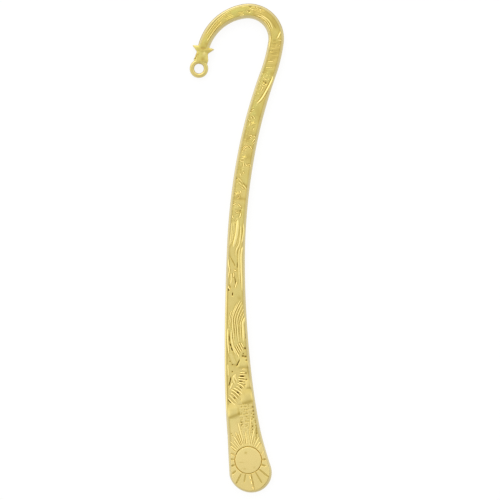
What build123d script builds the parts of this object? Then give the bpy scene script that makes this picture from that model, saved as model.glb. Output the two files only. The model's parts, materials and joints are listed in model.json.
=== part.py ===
"""A hook bookmark in plated metal: a flat S-shaped crook with a broad rounded foot, a star and a
hanging ring at its tip, and sun, cloud, wind, moon and comet ornaments seated on its front face."""

from build123d import *
import os
from math import ceil, cos, pi, radians, sin, sqrt

# The spine, from the foot's centre to the tip: tangent arcs, each a radius and a turn in degrees
FOOT_HEADING = 10.8  # lean of the foot to the left of +Y
FOOT_ARC_RADIUS = 195.0
FOOT_ARC_TURN = 7.3
STEM_ARC_RADIUS = 354.0
STEM_ARC_TURN = 4.9
LEAN_ARC_RADIUS = 156.0
LEAN_ARC_TURN = 9.6
SHOULDER_ARC_RADIUS = 127.0
SHOULDER_ARC_TURN = 8.9
NECK_ARC_RADIUS = 40.5
NECK_ARC_TURN = 11.6
CROWN_ARC_RADIUS = 7.0
CROWN_ARC_TURN = 106.7
TIP_ARC_RADIUS = 12.5
TIP_ARC_TURN = 80.8

# The crook's plate
FOOT_WIDTH = 10.6
STEM_WIDTH = 4.5
CROWN_WIDTH = 3.9
TIP_WIDTH = 2.65
FLARE_LENGTH = 58.0  # from the foot's centre to where the flare ends
FLARE_POWER = 1.53
SWELL_WIDTH = 1.0  # part of the foot's width that only its own swell gives
SWELL_LENGTH = 10.0
SWELL_POWER = 1.3
FOOT_SKEW = 0.3  # how far the foot's round end leans to the right
TIP_POWER = 1.5
SHOULDER_FLARE = 0.6  # widening under the star, down to the ring
SHOULDER_LENGTH = 2.6
STATION_SPACING = 4.2  # longest step between the points of the outline's edges
BODY_THICKNESS = 2.0
FRONT_EDGE_RADIUS = 0.45
BACK_EDGE_RADIUS = 0.3

# The star, a saddle that straddles the crook near its tip
STAR_RADIUS = 2.83
STAR_WAIST = 0.45  # inner corners, as a share of the star's radius
STAR_UNDERSIDE = 0.5  # height of its lower face above the table
STAR_PLATE = 0.35  # thickness over the crook's front face at the star's rim
STAR_PEAK = 0.6  # height of its faceted roof
STAR_SETBACK = 2.2  # from the end of the spine back to the star's centre

# The hanging ring and the peg that joins it to the tip
RING_HOLE_DIAMETER = 2.4
RING_WALL = 1.1
RING_THICKNESS = 1.7
RING_EDGE_RADIUS = 0.35
RING_NECK = 0.05  # from the end of the spine to the ring's outer wall
RING_SWING = 17.0  # angle by which the ring hangs towards the outside of the hook
PEG_DIAMETER = 0.9
PEG_DEPTH = 1.5  # how far the peg goes into the tip

# The sun on the foot
SUN_DISTANCE = 3.0  # from the foot's centre along the spine
SUN_DIAMETER = 6.6
SUN_SEAT_DEPTH = 0.4
SUN_PROUD = 0.3  # height of the disc's rim over the front face
SUN_CROWN = 0.2  # rise of the disc's dome over its rim
RAY_GAP = 0.3  # from the seat's wall to the rays
RAY_COUNT = 13
RAY_SPREAD = 118.0  # angle of the fan of rays above the disc
RAY_WIDTH = 0.62
LONG_RAY_LENGTH = 5.3
SHORT_RAY_LENGTH = 3.2
PETAL_COUNT = 12
PETAL_MARGIN = 13.0  # angle between the outermost rays and the petals
PETAL_LENGTH = 3.4
PETAL_FILL = 0.74  # share of each petal's angle that is metal

# The ornaments' zones, one after another up the stem
ZONE_GAP = 0.3
PUFF_DIAMETER = 3.4
CURL_LENGTH = 8.0
PLUME_LENGTH = 6.4
SWEEP_LENGTH = 10.5
RIBBON_LENGTH = 20.4
CRESCENT_LENGTH = 8.6

# Widths, heights and clearances of the ornaments
STROKE_WIDTH = 0.56
LEAF_WIDTH = 1.25
CRESCENT_WIDTH = 0.75
BEAD_DIAMETER = 0.44
SMALL_STAR_RADIUS = 0.85
RELIEF = 0.45
LOW_RELIEF = 0.32
CLOUD_RELIEF = 0.55
SEAT_CLEARANCE = 0.12
JOINT_CLEARANCE = 0.03

# Values that follow from the sizes above
FRONT = BODY_THICKNESS
ARCS = [
    (FOOT_ARC_RADIUS, FOOT_ARC_TURN),
    (STEM_ARC_RADIUS, STEM_ARC_TURN),
    (LEAN_ARC_RADIUS, LEAN_ARC_TURN),
    (SHOULDER_ARC_RADIUS, SHOULDER_ARC_TURN),
    (NECK_ARC_RADIUS, -NECK_ARC_TURN),
    (CROWN_ARC_RADIUS, -CROWN_ARC_TURN),
    (TIP_ARC_RADIUS, -TIP_ARC_TURN),
]
ARC_LENGTHS = [radius * radians(abs(turn)) for radius, turn in ARCS]
ARC_ENDS = [sum(ARC_LENGTHS[: count + 1]) for count in range(len(ARCS))]
SHOULDER_START, NECK_START, CROWN_START, TIP_START, SPINE_END = ARC_ENDS[2:]
RING_RADIUS = RING_HOLE_DIAMETER / 2 + RING_WALL
STAR_DISTANCE = SPINE_END - STAR_SETBACK
RAY_START = SUN_DIAMETER / 2 + SEAT_CLEARANCE + RAY_GAP
PUFF_RADIUS = PUFF_DIAMETER / 2
CLOUD_START = SUN_DISTANCE + RAY_START + LONG_RAY_LENGTH + ZONE_GAP
CURL_START = CLOUD_START + 1.5 * PUFF_DIAMETER + ZONE_GAP
PLUME_START = CURL_START + CURL_LENGTH + ZONE_GAP
SWEEP_START = PLUME_START + PLUME_LENGTH + ZONE_GAP
RIBBON_START = SWEEP_START + SWEEP_LENGTH + ZONE_GAP
UPPER_START = RIBBON_START + RIBBON_LENGTH + ZONE_GAP
CRESCENT_START = NECK_START - ZONE_GAP - CRESCENT_LENGTH


def spine(distance):
    """The point on the spine at a distance from the foot's centre, and the direction there."""
    point = Vector(0, 0)
    heading = radians(-FOOT_HEADING)
    left = distance
    for (radius, turn), length in zip(ARCS, ARC_LENGTHS):
        bend = (1 if turn > 0 else -1) / radius
        run = min(max(left, 0.0), length)
        after = heading + bend * run
        point += Vector(cos(heading) - cos(after), sin(after) - sin(heading)) / bend
        heading = after
        left -= run
    return point, Vector(sin(heading), cos(heading))


def rightward(distance):
    """The direction to the right of the spine."""
    forward = spine(distance)[1]
    return Vector(forward.Y, -forward.X)


def half_width(distance):
    """Half of the plate's width at a distance along the spine."""
    flare = max(0.0, 1 - distance / FLARE_LENGTH) ** FLARE_POWER
    crown = min(max((distance - FLARE_LENGTH) / (CROWN_START - FLARE_LENGTH), 0.0), 1.0)
    tip = max((distance - CROWN_START) / (SPINE_END - CROWN_START), 0.0) ** TIP_POWER
    swell = max(0.0, 1 - distance / SWELL_LENGTH) ** SWELL_POWER
    shoulder = max(0.0, 1 - (SPINE_END - distance) / SHOULDER_LENGTH) ** TIP_POWER
    width = STEM_WIDTH + (FOOT_WIDTH - SWELL_WIDTH - STEM_WIDTH) * flare + SWELL_WIDTH * swell
    width += (CROWN_WIDTH - STEM_WIDTH) * crown + (TIP_WIDTH - CROWN_WIDTH) * tip
    return (width + SHOULDER_FLARE * shoulder) / 2


def at(distance, share):
    """A point on the flat of the front face: share is -1 on its left edge and 1 on its right."""
    return spine(distance)[0] + rightward(distance) * (half_width(distance) - FRONT_EDGE_RADIUS) * share


def placed(distance, share=0.0):
    """A place on the plate with +Y along the spine."""
    return Plane(origin=at(distance, share), x_dir=rightward(distance), z_dir=(0, 0, 1)).location


def plate_face(inset=0.0):
    """The crook's outline, drawn in by inset: two edge curves closed by a leaning foot and a round tip."""

    def edge_point(distance, side):
        return spine(distance)[0] + rightward(distance) * (side * (half_width(distance) - inset))

    stations = [0.0]
    for (radius, turn), length in zip(ARCS, ARC_LENGTHS):
        stretches = max(ceil(length / STATION_SPACING), ceil(abs(turn) / 18))
        stations += [stations[-1] + length * (step + 1) / stretches for step in range(stretches)]
    start, foot_way = spine(0.0)
    end, tip_way = spine(SPINE_END)
    left_edge = Spline(*[edge_point(s, -1) for s in stations], tangents=(foot_way, tip_way))
    right_edge = Spline(*[edge_point(s, 1) for s in stations], tangents=(foot_way, tip_way))
    foot_radius = half_width(0.0) - inset
    foot_points = []
    for angle in (-60, -30, 0, 30, 60):
        across = foot_radius * sin(radians(angle)) + FOOT_SKEW * cos(radians(angle))
        foot_points.append(start - foot_way * foot_radius * cos(radians(angle)) + rightward(0.0) * across)
    foot_ways = (-foot_way, foot_way)
    foot_round = Spline(left_edge @ 0, *foot_points, right_edge @ 0, tangents=foot_ways)
    tip_point = end + tip_way * (half_width(SPINE_END) - inset)
    tip_round = ThreePointArc(left_edge @ 1, tip_point, right_edge @ 1)
    return make_face([left_edge, tip_round, right_edge, foot_round])


def seated(shapes):
    """Ornaments drawn on Z = 0, raised to the front face."""
    return [Pos(0, 0, FRONT) * shape for shape in shapes]


def trimmed(shapes):
    """Ornaments that reach past the flat of the front face, cut off at its edge."""
    flat = extrude(plate_face(FRONT_EDGE_RADIUS), BODY_THICKNESS)
    return seated([shape & flat for shape in shapes])


def spindle(start, middle, end, width, height):
    """A ridge with pointed ends: two arcs between the same ends, width apart at the middle."""
    sideways = (end - start).normalized().rotate(Axis.Z, 90) * (width / 2)
    outer = ThreePointArc(start, middle + sideways, end)
    inner = ThreePointArc(end, middle - sideways, start)
    return extrude(make_face([outer, inner]), height)


def ridge(start, end, width=STROKE_WIDTH, bow=0.0, height=RELIEF):
    """A spindle between two places on the plate, bowed by a share of its length."""
    first, last = at(*start), at(*end)
    sag = (last - first).rotate(Axis.Z, 90) * bow
    middle = at((start[0] + end[0]) / 2, (start[1] + end[1]) / 2) + sag
    return spindle(first, middle, last, width, height)


def strokes(zone_start, zone_length, rows):
    """Ridges in a zone, each row its two ends, as parts of the zone and shares across, width and bow."""
    ridges = []
    for (low, low_share), (high, high_share), width, bow in rows:
        start = (zone_start + zone_length * low, low_share)
        end = (zone_start + zone_length * high, high_share)
        ridges.append(ridge(start, end, width, bow))
    return ridges


def star_face(radius):
    """A five-pointed star about the origin, one point along +Y."""
    corners = []
    for corner in range(10):
        reach = radius if corner % 2 == 0 else radius * STAR_WAIST
        angle = pi * corner / 5
        corners.append((reach * sin(angle), reach * cos(angle)))
    return make_face(Polyline(*corners, close=True))


def dome(distance, share, radius, height):
    """A low round dome on the plate."""
    ball_radius = (radius**2 + height**2) / (2 * height)
    ball = Pos(0, 0, height - ball_radius) * Sphere(ball_radius)
    return placed(distance, share) * (ball & extrude(Circle(radius), height))


def ring_way():
    """The direction from the tip to the ring."""
    return spine(SPINE_END)[1].rotate(Axis.Z, -RING_SWING)


def ring_centre():
    """The middle of the hanging ring's hole, half way up the plate."""
    reach = ring_way() * (RING_RADIUS + RING_NECK)
    return spine(SPINE_END)[0] + reach + Vector(0, 0, BODY_THICKNESS / 2)


def peg(clearance=0.0):
    """The round peg from the middle of the ring's wall into the tip."""
    root = ring_centre() - ring_way() * (RING_RADIUS - RING_WALL / 2)
    length = RING_WALL / 2 + PEG_DEPTH + clearance
    return extrude(Plane(origin=root, z_dir=-ring_way()) * Circle(PEG_DIAMETER / 2 + clearance), length)


def crook_body():
    """The plate, with the sun's round seat, the saddle for the ring and the hole for its peg."""
    plate = extrude(plate_face(), BODY_THICKNESS)
    plate = fillet(plate.edges().group_by(Axis.Z)[-1], FRONT_EDGE_RADIUS)
    plate = fillet(plate.edges().group_by(Axis.Z)[0], BACK_EDGE_RADIUS)
    seat = extrude(placed(SUN_DISTANCE) * Circle(SUN_DIAMETER / 2 + SEAT_CLEARANCE), SUN_SEAT_DEPTH)
    centre = ring_centre()
    saddle = extrude(Pos(centre.X, centre.Y) * Circle(RING_RADIUS + JOINT_CLEARANCE), BODY_THICKNESS)
    return [plate - Pos(0, 0, FRONT - SUN_SEAT_DEPTH) * seat - saddle - peg(JOINT_CLEARANCE)]


def hanging_ring():
    """A round ring with rounded edges and its joining peg."""
    disc = extrude(Circle(RING_RADIUS) - Circle(RING_HOLE_DIAMETER / 2), RING_THICKNESS)
    edge_radius = min(RING_EDGE_RADIUS, 0.4 * RING_WALL, 0.4 * RING_THICKNESS)
    disc = fillet(disc.edges().filter_by(GeomType.CIRCLE), edge_radius)
    return [Pos(ring_centre()) * Pos(0, 0, -RING_THICKNESS / 2) * disc + peg()]


def star():
    """A faceted star over the tip, slotted underneath where the crook passes through."""
    outline = star_face(STAR_RADIUS)
    base = extrude(outline, FRONT + STAR_PLATE - STAR_UNDERSIDE)
    roof = loft([outline, Vertex(0, 0, STAR_PEAK)])
    place = placed(STAR_DISTANCE) * Rot(0, 0, 180)
    solid = Pos(0, 0, STAR_UNDERSIDE) * place * base
    solid += Pos(0, 0, FRONT + STAR_PLATE) * place * roof
    return [solid - extrude(plate_face(-JOINT_CLEARANCE), FRONT)]


def sun_disc():
    """The plain domed disc that sits in the foot's seat."""
    radius = SUN_DIAMETER / 2
    rim = SUN_SEAT_DEPTH + SUN_PROUD
    ball_radius = (radius**2 + SUN_CROWN**2) / (2 * SUN_CROWN)
    drum = extrude(Circle(radius), rim + SUN_CROWN)
    disc = drum & Pos(0, 0, rim + SUN_CROWN - ball_radius) * Sphere(ball_radius)
    return [Pos(0, 0, FRONT - SUN_SEAT_DEPTH) * placed(SUN_DISTANCE) * disc]


def sun_point(radius, angle):
    """A point at a distance from the sun's centre, its angle counted to the right of the spine."""
    turn = radians(angle)
    centre, forward = spine(SUN_DISTANCE)
    return centre + (forward * cos(turn) + rightward(SUN_DISTANCE) * sin(turn)) * radius


def sun_rays():
    """The fan of long and short rays that climb from the disc up the blade."""
    rays = []
    for index in range(RAY_COUNT):
        angle = RAY_SPREAD * (index / (RAY_COUNT - 1) - 0.5)
        length = LONG_RAY_LENGTH if index % 2 == 0 else SHORT_RAY_LENGTH
        reaches = (RAY_START, RAY_START + length / 3, RAY_START + length)
        rays.append(spindle(*[sun_point(reach, angle) for reach in reaches], RAY_WIDTH, RELIEF))
    return trimmed(rays)


def sun_petals():
    """The broad petals round the rest of the disc, cut off at the foot's edge."""
    petals = []
    spread = 360 - RAY_SPREAD - 2 * PETAL_MARGIN
    pitch = spread / PETAL_COUNT
    for index in range(PETAL_COUNT):
        middle = 180 - spread / 2 + pitch * (index + 0.5)
        low = middle - pitch * PETAL_FILL / 2
        high = middle + pitch * PETAL_FILL / 2
        far = RAY_START + PETAL_LENGTH
        corners = [(RAY_START, low), (far, low), (far, high), (RAY_START, high)]
        wedge = make_face(Polyline(*[sun_point(*corner) for corner in corners], close=True))
        petals.append(extrude(wedge, LOW_RELIEF))
    return trimmed(petals)


def clouds():
    """Two banks of cloud above the rays, each a large puff and a small one."""
    banks = []
    for side, share, lift in ((-1, 0.6, 1.0), (1, 0.74, 2.0)):
        large = dome(CLOUD_START + lift * PUFF_RADIUS, side * share, PUFF_RADIUS, CLOUD_RELIEF)
        small_place = CLOUD_START + (lift + 0.4) * PUFF_RADIUS
        small = dome(small_place, side * (share - 0.38), 0.6 * PUFF_RADIUS, CLOUD_RELIEF)
        banks.append(large + small)
    return trimmed(banks)


def cloud_curls():
    """A fan of strokes over the clouds that turns from slanting to level."""
    count = 9
    rows = []
    for index in range(count):
        climb = index / (count - 1)
        turn = sqrt(climb)
        low = (0.02 + 0.93 * climb, -0.4 + 1.12 * turn)
        high = (0.19 + 0.77 * climb, -0.88 + 0.9 * turn)
        rows.append((low, high, STROKE_WIDTH, 0.05))
    rows.append(((0.44, -0.82), (0.94, -0.72), STROKE_WIDTH, -0.03))
    return seated(strokes(CURL_START, CURL_LENGTH, rows))


def wind_plume():
    """A pointed leaf with barbs on its right and a stalk on its left."""
    rows = [
        ((0.17, 0.08), (0.95, -0.38), LEAF_WIDTH, 0.04),
        ((0.5, 0.44), (0.98, 0.2), STROKE_WIDTH, 0.0),
        ((0.5, 0.68), (0.92, 0.5), STROKE_WIDTH, 0.0),
        ((0.48, 0.88), (0.8, 0.82), STROKE_WIDTH, 0.0),
        ((0.04, -0.24), (0.6, -0.84), STROKE_WIDTH, 0.05),
    ]
    return seated(strokes(PLUME_START, PLUME_LENGTH, rows))


def wind_sweeps():
    """Bowed strokes that sweep from the right edge down to the left, and one by the left edge."""
    count = 5
    rows = [((0.02, -0.88), (0.3, -0.9), STROKE_WIDTH, 0.0)]
    for index in range(count):
        step = index / (count - 1)
        low = (0.5 - 0.47 * step, -0.7 + 1.3 * step)
        high = (0.97 - 0.5 * step, 0.92 + 0.02 * step)
        rows.append((low, high, STROKE_WIDTH, 0.08 - 0.03 * step))
    return seated(strokes(SWEEP_START, SWEEP_LENGTH, rows))


def ribbons():
    """Long strokes that run up the middle of the stem like folded ribbon."""
    rows = [
        ((0.667, -0.76), (0.98, -0.82), STROKE_WIDTH, 0.01),
        ((0.686, -0.24), (1.0, -0.12), 1.3 * STROKE_WIDTH, 0.02),
        ((0.647, 0.3), (0.93, 0.48), STROKE_WIDTH, -0.02),
        ((0.627, 0.78), (0.863, 0.9), STROKE_WIDTH, 0.0),
        ((0.147, 0.82), (0.58, 0.84), STROKE_WIDTH, 0.01),
        ((0.451, 0.2), (0.608, -0.72), 1.2 * STROKE_WIDTH, 0.05),
        ((0.186, 0.16), (0.402, -0.3), 1.2 * STROKE_WIDTH, 0.05),
        ((0.186, -0.8), (0.431, -0.88), STROKE_WIDTH, 0.0),
        ((0.03, -0.3), (0.13, -0.8), STROKE_WIDTH, 0.1),
    ]
    return seated(strokes(RIBBON_START, RIBBON_LENGTH, rows))


def upper_zone():
    """The stretch between the ribbons and the crescent: where it starts, and its length."""
    return UPPER_START, CRESCENT_START - ZONE_GAP - UPPER_START


def chevrons():
    """Slanting strokes on the upper stem."""
    rows = [
        ((0.64, -0.84), (0.74, -0.14), STROKE_WIDTH, 0.0),
        ((0.657, 0.88), (0.74, 0.2), STROKE_WIDTH, 0.0),
        ((0.3, 0.76), (0.43, -0.86), STROKE_WIDTH, 0.03),
        ((0.255, 0.64), (0.375, -0.88), STROKE_WIDTH, 0.03),
        ((0.05, 0.8), (0.143, -0.7), STROKE_WIDTH, 0.14),
    ]
    return seated(strokes(*upper_zone(), rows))


def small_stars():
    """Little five-pointed stars along the upper stem."""
    start, length = upper_zone()
    raised = extrude(star_face(SMALL_STAR_RADIUS), RELIEF)
    places = [(0.205, -0.36), (0.543, -0.12), (0.86, 0.08)]
    return seated([placed(start + length * part, share) * raised for part, share in places])


def crescent_moon():
    """A slim crescent that crosses the stem under the neck."""
    rows = [((0.05, -0.78), (0.95, 0.88), CRESCENT_WIDTH, -0.06)]
    return seated(strokes(CRESCENT_START, CRESCENT_LENGTH, rows))


def moon_beads():
    """Beads in rows on the hollow side of the crescent."""
    beads = []
    for row in range(5):
        for column in range(2 + row // 2):
            distance = CRESCENT_START + CRESCENT_LENGTH * (0.45 + 0.12 * row)
            share = -0.84 + 0.42 * column
            beads.append(dome(distance, share, BEAD_DIAMETER / 2, BEAD_DIAMETER / 2))
    return seated(beads)


def neck_ripples():
    """Level strokes across the neck."""
    count = 6
    pitch = (CROWN_START - NECK_START) / (count + 1)
    levels = [NECK_START + pitch * (index + 1) for index in range(count)]
    return seated([ridge((s, -0.9), (s, 0.86), STROKE_WIDTH, 0.03, LOW_RELIEF) for s in levels])


def crown_rim():
    """A ridge along the inside of the crown."""
    rows = [((0.11, -0.72), (0.72, -0.7), STROKE_WIDTH, 0.0)]
    return seated(strokes(CROWN_START, TIP_START - CROWN_START, rows))


def crown_curls():
    """Small curls on top of the crown."""
    rows = []
    for index in range(3):
        low = (0.66 + 0.14 * index, 0.1 - 0.3 * index)
        high = (0.8 + 0.1 * index, 0.72)
        rows.append((low, high, 0.8 * STROKE_WIDTH, 0.1))
    return seated(strokes(CROWN_START, TIP_START - CROWN_START, rows))


def comet_trail():
    """Three ribs that run along the crook into the star."""
    start = TIP_START + 2 * STROKE_WIDTH
    end = STAR_DISTANCE - STAR_RADIUS - JOINT_CLEARANCE
    return seated([ridge((start, share), (end, share), 0.8 * STROKE_WIDTH) for share in (-0.68, 0.0, 0.68)])


MAKERS = [
    crook_body,
    hanging_ring,
    star,
    sun_disc,
    sun_rays,
    sun_petals,
    clouds,
    cloud_curls,
    wind_plume,
    wind_sweeps,
    ribbons,
    chevrons,
    small_stars,
    crescent_moon,
    moon_beads,
    neck_ripples,
    crown_rim,
    crown_curls,
    comet_trail,
]


def main():
    """Builds every node, puts the origin under the middle of the whole and writes the STEP files."""
    os.makedirs("parts", exist_ok=True)
    nodes = {maker.__name__: [s for shape in maker() for s in shape.solids()] for maker in MAKERS}
    box = Compound([solid for solids in nodes.values() for solid in solids]).bounding_box()
    origin = Pos(-box.center().X, -box.center().Y, -box.min.Z)
    for name, solids in nodes.items():
        moved = [origin * solid for solid in solids]
        export_step(moved[0] if len(moved) == 1 else Compound(moved), f"parts/{name}.step")
    print("overall size", box.size)
    print("foot centre", origin.position)
    print("ring centre", (origin * Pos(ring_centre())).position)


main()
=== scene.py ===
import json
from math import cos, pi, radians, sin, sqrt

import bpy
import numpy as np
from bpy.props import FloatProperty, FloatVectorProperty, PointerProperty
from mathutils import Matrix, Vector


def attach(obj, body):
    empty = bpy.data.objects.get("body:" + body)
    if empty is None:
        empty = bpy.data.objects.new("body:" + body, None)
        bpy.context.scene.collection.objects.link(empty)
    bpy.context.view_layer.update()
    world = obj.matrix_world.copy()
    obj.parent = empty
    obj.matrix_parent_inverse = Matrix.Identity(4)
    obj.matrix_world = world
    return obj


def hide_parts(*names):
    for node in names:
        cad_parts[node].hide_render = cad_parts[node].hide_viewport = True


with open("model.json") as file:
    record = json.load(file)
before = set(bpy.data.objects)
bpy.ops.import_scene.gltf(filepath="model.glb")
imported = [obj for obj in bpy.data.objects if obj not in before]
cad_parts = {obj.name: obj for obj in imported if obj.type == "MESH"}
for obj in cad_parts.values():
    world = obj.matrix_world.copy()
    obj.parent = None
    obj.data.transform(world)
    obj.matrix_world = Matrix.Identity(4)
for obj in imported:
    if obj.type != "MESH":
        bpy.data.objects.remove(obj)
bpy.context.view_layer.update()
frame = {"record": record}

bl_info = {
    "name": "Hook bookmark",
    "version": (1, 0, 0),
    "blender": (4, 5, 0),
    "location": "3D view > Sidebar > Bookmark",
    "description": "Models a cast gold hook bookmark over its packed frame",
    "category": "Object",
}

# The imported frame: in mm the middle of the foot and the hanging ring's middle and hole
MM = 0.001
MOUNTS = {mount["name"]: mount for mount in frame["record"]["mounts"]}
FOOT = np.array(MOUNTS["back"]["pos_m"]) / MM
RING = np.array(MOUNTS["cord_hole"]["pos_m"]) / MM
RING_HOLE = MOUNTS["cord_hole"]["dims"]["r_mm"]

# The spine of the crook, in mm: tangent arcs, each a radius and a turn in degrees, right turns positive
FOOT_HEADING = -10.8
ARCS = [
    (195.0, 7.3),
    (354.0, 4.9),
    (156.0, 9.6),
    (127.0, 8.9),
    (40.5, -11.6),
    (7.0, -106.7),
    (12.5, -80.8),
]
SPINE_END = sum(radius * radians(abs(turn)) for radius, turn in ARCS)
CROWN_START = sum(radius * radians(abs(turn)) for radius, turn in ARCS[:5])
FOOT_RADIUS = 5.3
FOOT_SKEW = 0.3
STEM_WIDTH = 4.5
CROWN_WIDTH = 3.9
TIP_WIDTH = 2.65
TIP_POWER = 1.5
FLARE_LENGTH = 58.0
FLARE_POWER = 1.53
SWELL_WIDTH = 1.0
SWELL_LENGTH = 10.0
SWELL_POWER = 1.3
SHOULDER_FLARE = 0.6
SHOULDER_LENGTH = 2.6
SHOULDER_POWER = 1.5
TIP_REACH = 0.95
SUN_PLACE = 3.0
SUN_RADIUS = 3.3
STAR_PLACE = SPINE_END - 2.2
STAR_RADIUS = 2.83
STAR_STRETCH = (STAR_PLACE - 2.0, STAR_PLACE - 0.5)

# What counts as nothing, as one seam in metres and as one level in mm. Further down, a skin is a grain
# in mm and rounds of smoothing, a blank is a ball's segments and rings, and a shading of four values is a
# painted shade, the painted highlight added to it and the two heights in mm between which that highlight
# comes up
TINY = 1e-9
SEAM = 1e-6
LEVEL = 0.01

# The plate's sheet: columns over the front and down each side, rows along it and in its two round ends
FRONT_COLUMNS = 68
SIDE_COLUMNS = 9
SHEET_COLUMNS = FRONT_COLUMNS + 2 * SIDE_COLUMNS
ROWS = 1120
FOOT_ROWS = 48
TIP_ROWS = 14
EDGE_STEPS = 4

# The edges' painted shade, with a painted highlight down the lower stem's left edge and more painted shade
# down
# the right edge from the crown on: tones from 0 to 1, how far in and along they go in mm, and their shares
# round the edge
EDGE_TONE = 0.8
EDGE_REACH = 0.17
WALL_TONE = 0.3
STAR_FADE = 0.85
PALE_STRETCH = (14.0, 48.0, 3.0)
PALE_STEPS = (0.1, 0.4, 0.8, 1.0)
PALE_HIGHLIGHT = 0.5
PALE_FADE = 0.8
DARK_STRETCH = (109.0, 113.0)
DARK_STEPS = (0.2, 0.9, 1.0, 0.3)
DARK_SHADE = 0.95
DARK_FADE = 0.6
SIDE_TONE = 0.9
SIDE_LEVELS = (0.2, 0.95)

# The line of painted shade along the front's border in mm, darker at the foot's lower end, and darker and
# nearer the edge where the left edge has its painted highlight
BORDER_FADE = 0.3
BORDER_INSET = 0.3
BORDER_WIDTH = 0.13
BORDER_FOOT = (-3.5, -1.0)
BORDER_FOOT_TONE = 0.65
BORDER_DROP = 0.3
PALE_INSET = 0.16
PALE_BORDER = 0.2

# The ground in mm: its bulge on the crown, its waves, and the seat and halo of the sun, with the painted
# shade in them and on the ground under the sun
CROWN_BULGE = 0.1
CROWN_STRETCH = (99.0, 111.0)
WAVES = 0.006
SEAT_DEPTH = 0.2
SEAT_WALL = 0.16
HALO_GAP = 0.15
HALO_WIDTH = 0.22
HALO_TONE = 0.75
HALO_SPREAD = (0.2, 0.9)
UNDER_TONE = 0.38
UNDER_TOP = (3.0, 5.0)
UNDER_REACH = (6.2, 7.4)

# Fine dots on the ground: from, to, left and right as shares of the width, and rise, in mm
STIPPLE_FIELDS = [
    (9.5, 17.0, -0.15, 0.95, -0.11),
    (63.8, 92.0, -0.95, -0.1, 0.06),
    (92.5, 101.5, -0.95, 0.2, 0.05),
    (117.5, 123.0, -0.4, 0.9, 0.04),
]
STIPPLE_SEED = 7
STIPPLE_STEP = 0.62
STIPPLE_JITTER = 0.16
STIPPLE_MARGIN = 0.6
STIPPLE_CLEAR = 1.6
STIPPLE_SIZES = (0.14, 0.2)
STIPPLE_SHARES = (0.3, 1.3)
# Painted light on the dots: lighter where they rise, painted shade where they sink
STIPPLE_SHADING = 6

# How deep pits, dimples, shades, cut lines, swells and the creases round strokes are, and how dark their
# painted shade is
PIT_DEPTH = 0.9
PIT_SHADE = 1.7
DIMPLE_SHADE = 0.75
SHADE_RISE = 0.06
GROOVE_SHADE = 0.3
GROOVE_DEEPENING = 3.2
SWELL_SIDE = 0.4
SWELL_CLIMB = 0.8
SWELL_FALL = (0.9, 3.4)
SWELL_LINE = 0.35
SWELL_SHADE = 1.6
CREASE_PLACE = 0.48
CREASE_DEPTH = 0.06
CREASE_WIDTH = 0.09
CREASE_SHADE = 0.6
CREASE_SHADES = {"sun_rays": 0.42, "neck_ripples": 0.65, "chevrons": 0.7, "crescent_moon": 0.75,
                 "crown_rim": 0.45, "crown_curls": 0.65, "comet_trail": 0.5}

# Strokes: how full and pointed they are, their crest, the width and height that keep their polish whole,
# their painted highlight along the crest and painted shade down the flanks and under the foot, and how low
# they sit, in mm
STROKE_BLANK = (16, 26)
STROKE_FILL = 1.7
STROKE_POINT = 0.8
CREST_POWER = 1.4
POLISHED_WIDTH = 1.0
POLISHED_RISE = 0.15
CREST_HIGHLIGHT = 0.8
FLANK_SHADE = 1.5
FLANK_POWER = 1.5
STROKE_FOOT_SHADE = -0.7
SEATING = 0.04
PATH_STEPS = 80
PATH_REACH = 1.0

# The hanging ring in mm, with half of its band's width and height, and the neck between it and the tip
RING_REACH = 1.77
RING_BAND = 0.57
RING_RISE = 0.84
RING_SQUARENESS = 3
RING_SKIN = (0.075, 6)
RING_CORNERS = (64, 20)
# The share of the painted edge shade that the whole ring gets
RING_TONE = 0.3
NECK_BLANK = (28, 18)
NECK_START = 0.36
NECK_LENGTH = 0.95
NECK_SHIFT = 0.18
NECK_WIDTH = 1.85
NECK_FLARE = 0.08

# The star in mm, with what smoothing takes off its points, and the small stars: place and radius
STAR_POINTS = 5
STAR_SPARE = 0.15
STAR_WAIST = 0.5
STAR_BASE = 0.4
STAR_SINK = 0.1
STAR_PEAK = 0.26
STAR_SKIN = (0.07, 60)
# The star's painted shade, lighter where its faces look up past a level and darker down its slopes
STAR_TONE = -0.3
STAR_SHEEN = 0.35
STAR_LEVEL = 0.8
SMALL_STARS = [(69.87, -0.66, 0.85), (79.19, -0.2, 0.85), (87.92, 0.13, 0.9)]
SMALL_WAIST = 0.45
SMALL_SINK = 0.2
SMALL_RISE = 0.04
SMALL_PEAK = 0.18
SMALL_EDGE = 0.05
# Painted shade over the small stars, a little lighter on their tops
SMALL_SHADING = (-0.32, 0.2, 0.02, 0.2)

# The beads beside the crescent in mm, with places and steps along and across the spine
BEAD_BLANK = (14, 10)
BEAD_ROWS = 6
BEAD_START = (95.2, -1.3)
BEAD_STEP = (1.06, 0.62)
BEAD_STAGGER = 0.3
BEAD_SIZES = (0.16, 0.2)
BEAD_FLATNESS = 0.6
# Painted shade at the beads' feet and a painted highlight on their tops
BEAD_SHADING = (-0.3, 0.7, 0.0, 0.08)

# The sun's disc and petals in mm, with what the petals gain at the sun's sides, and the grooves between them
DISC_CORNERS = 96
DISC_SINK = 0.3
DISC_RISE = 0.12
DISC_EDGE = 0.1
DISC_DOME = 0.06
DISC_RINGS = 7
DISC_RING_STEP = 0.42
DISC_LID = 0.08
DISC_FOOT = 0.03
DISC_TONE = 0.05
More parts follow.
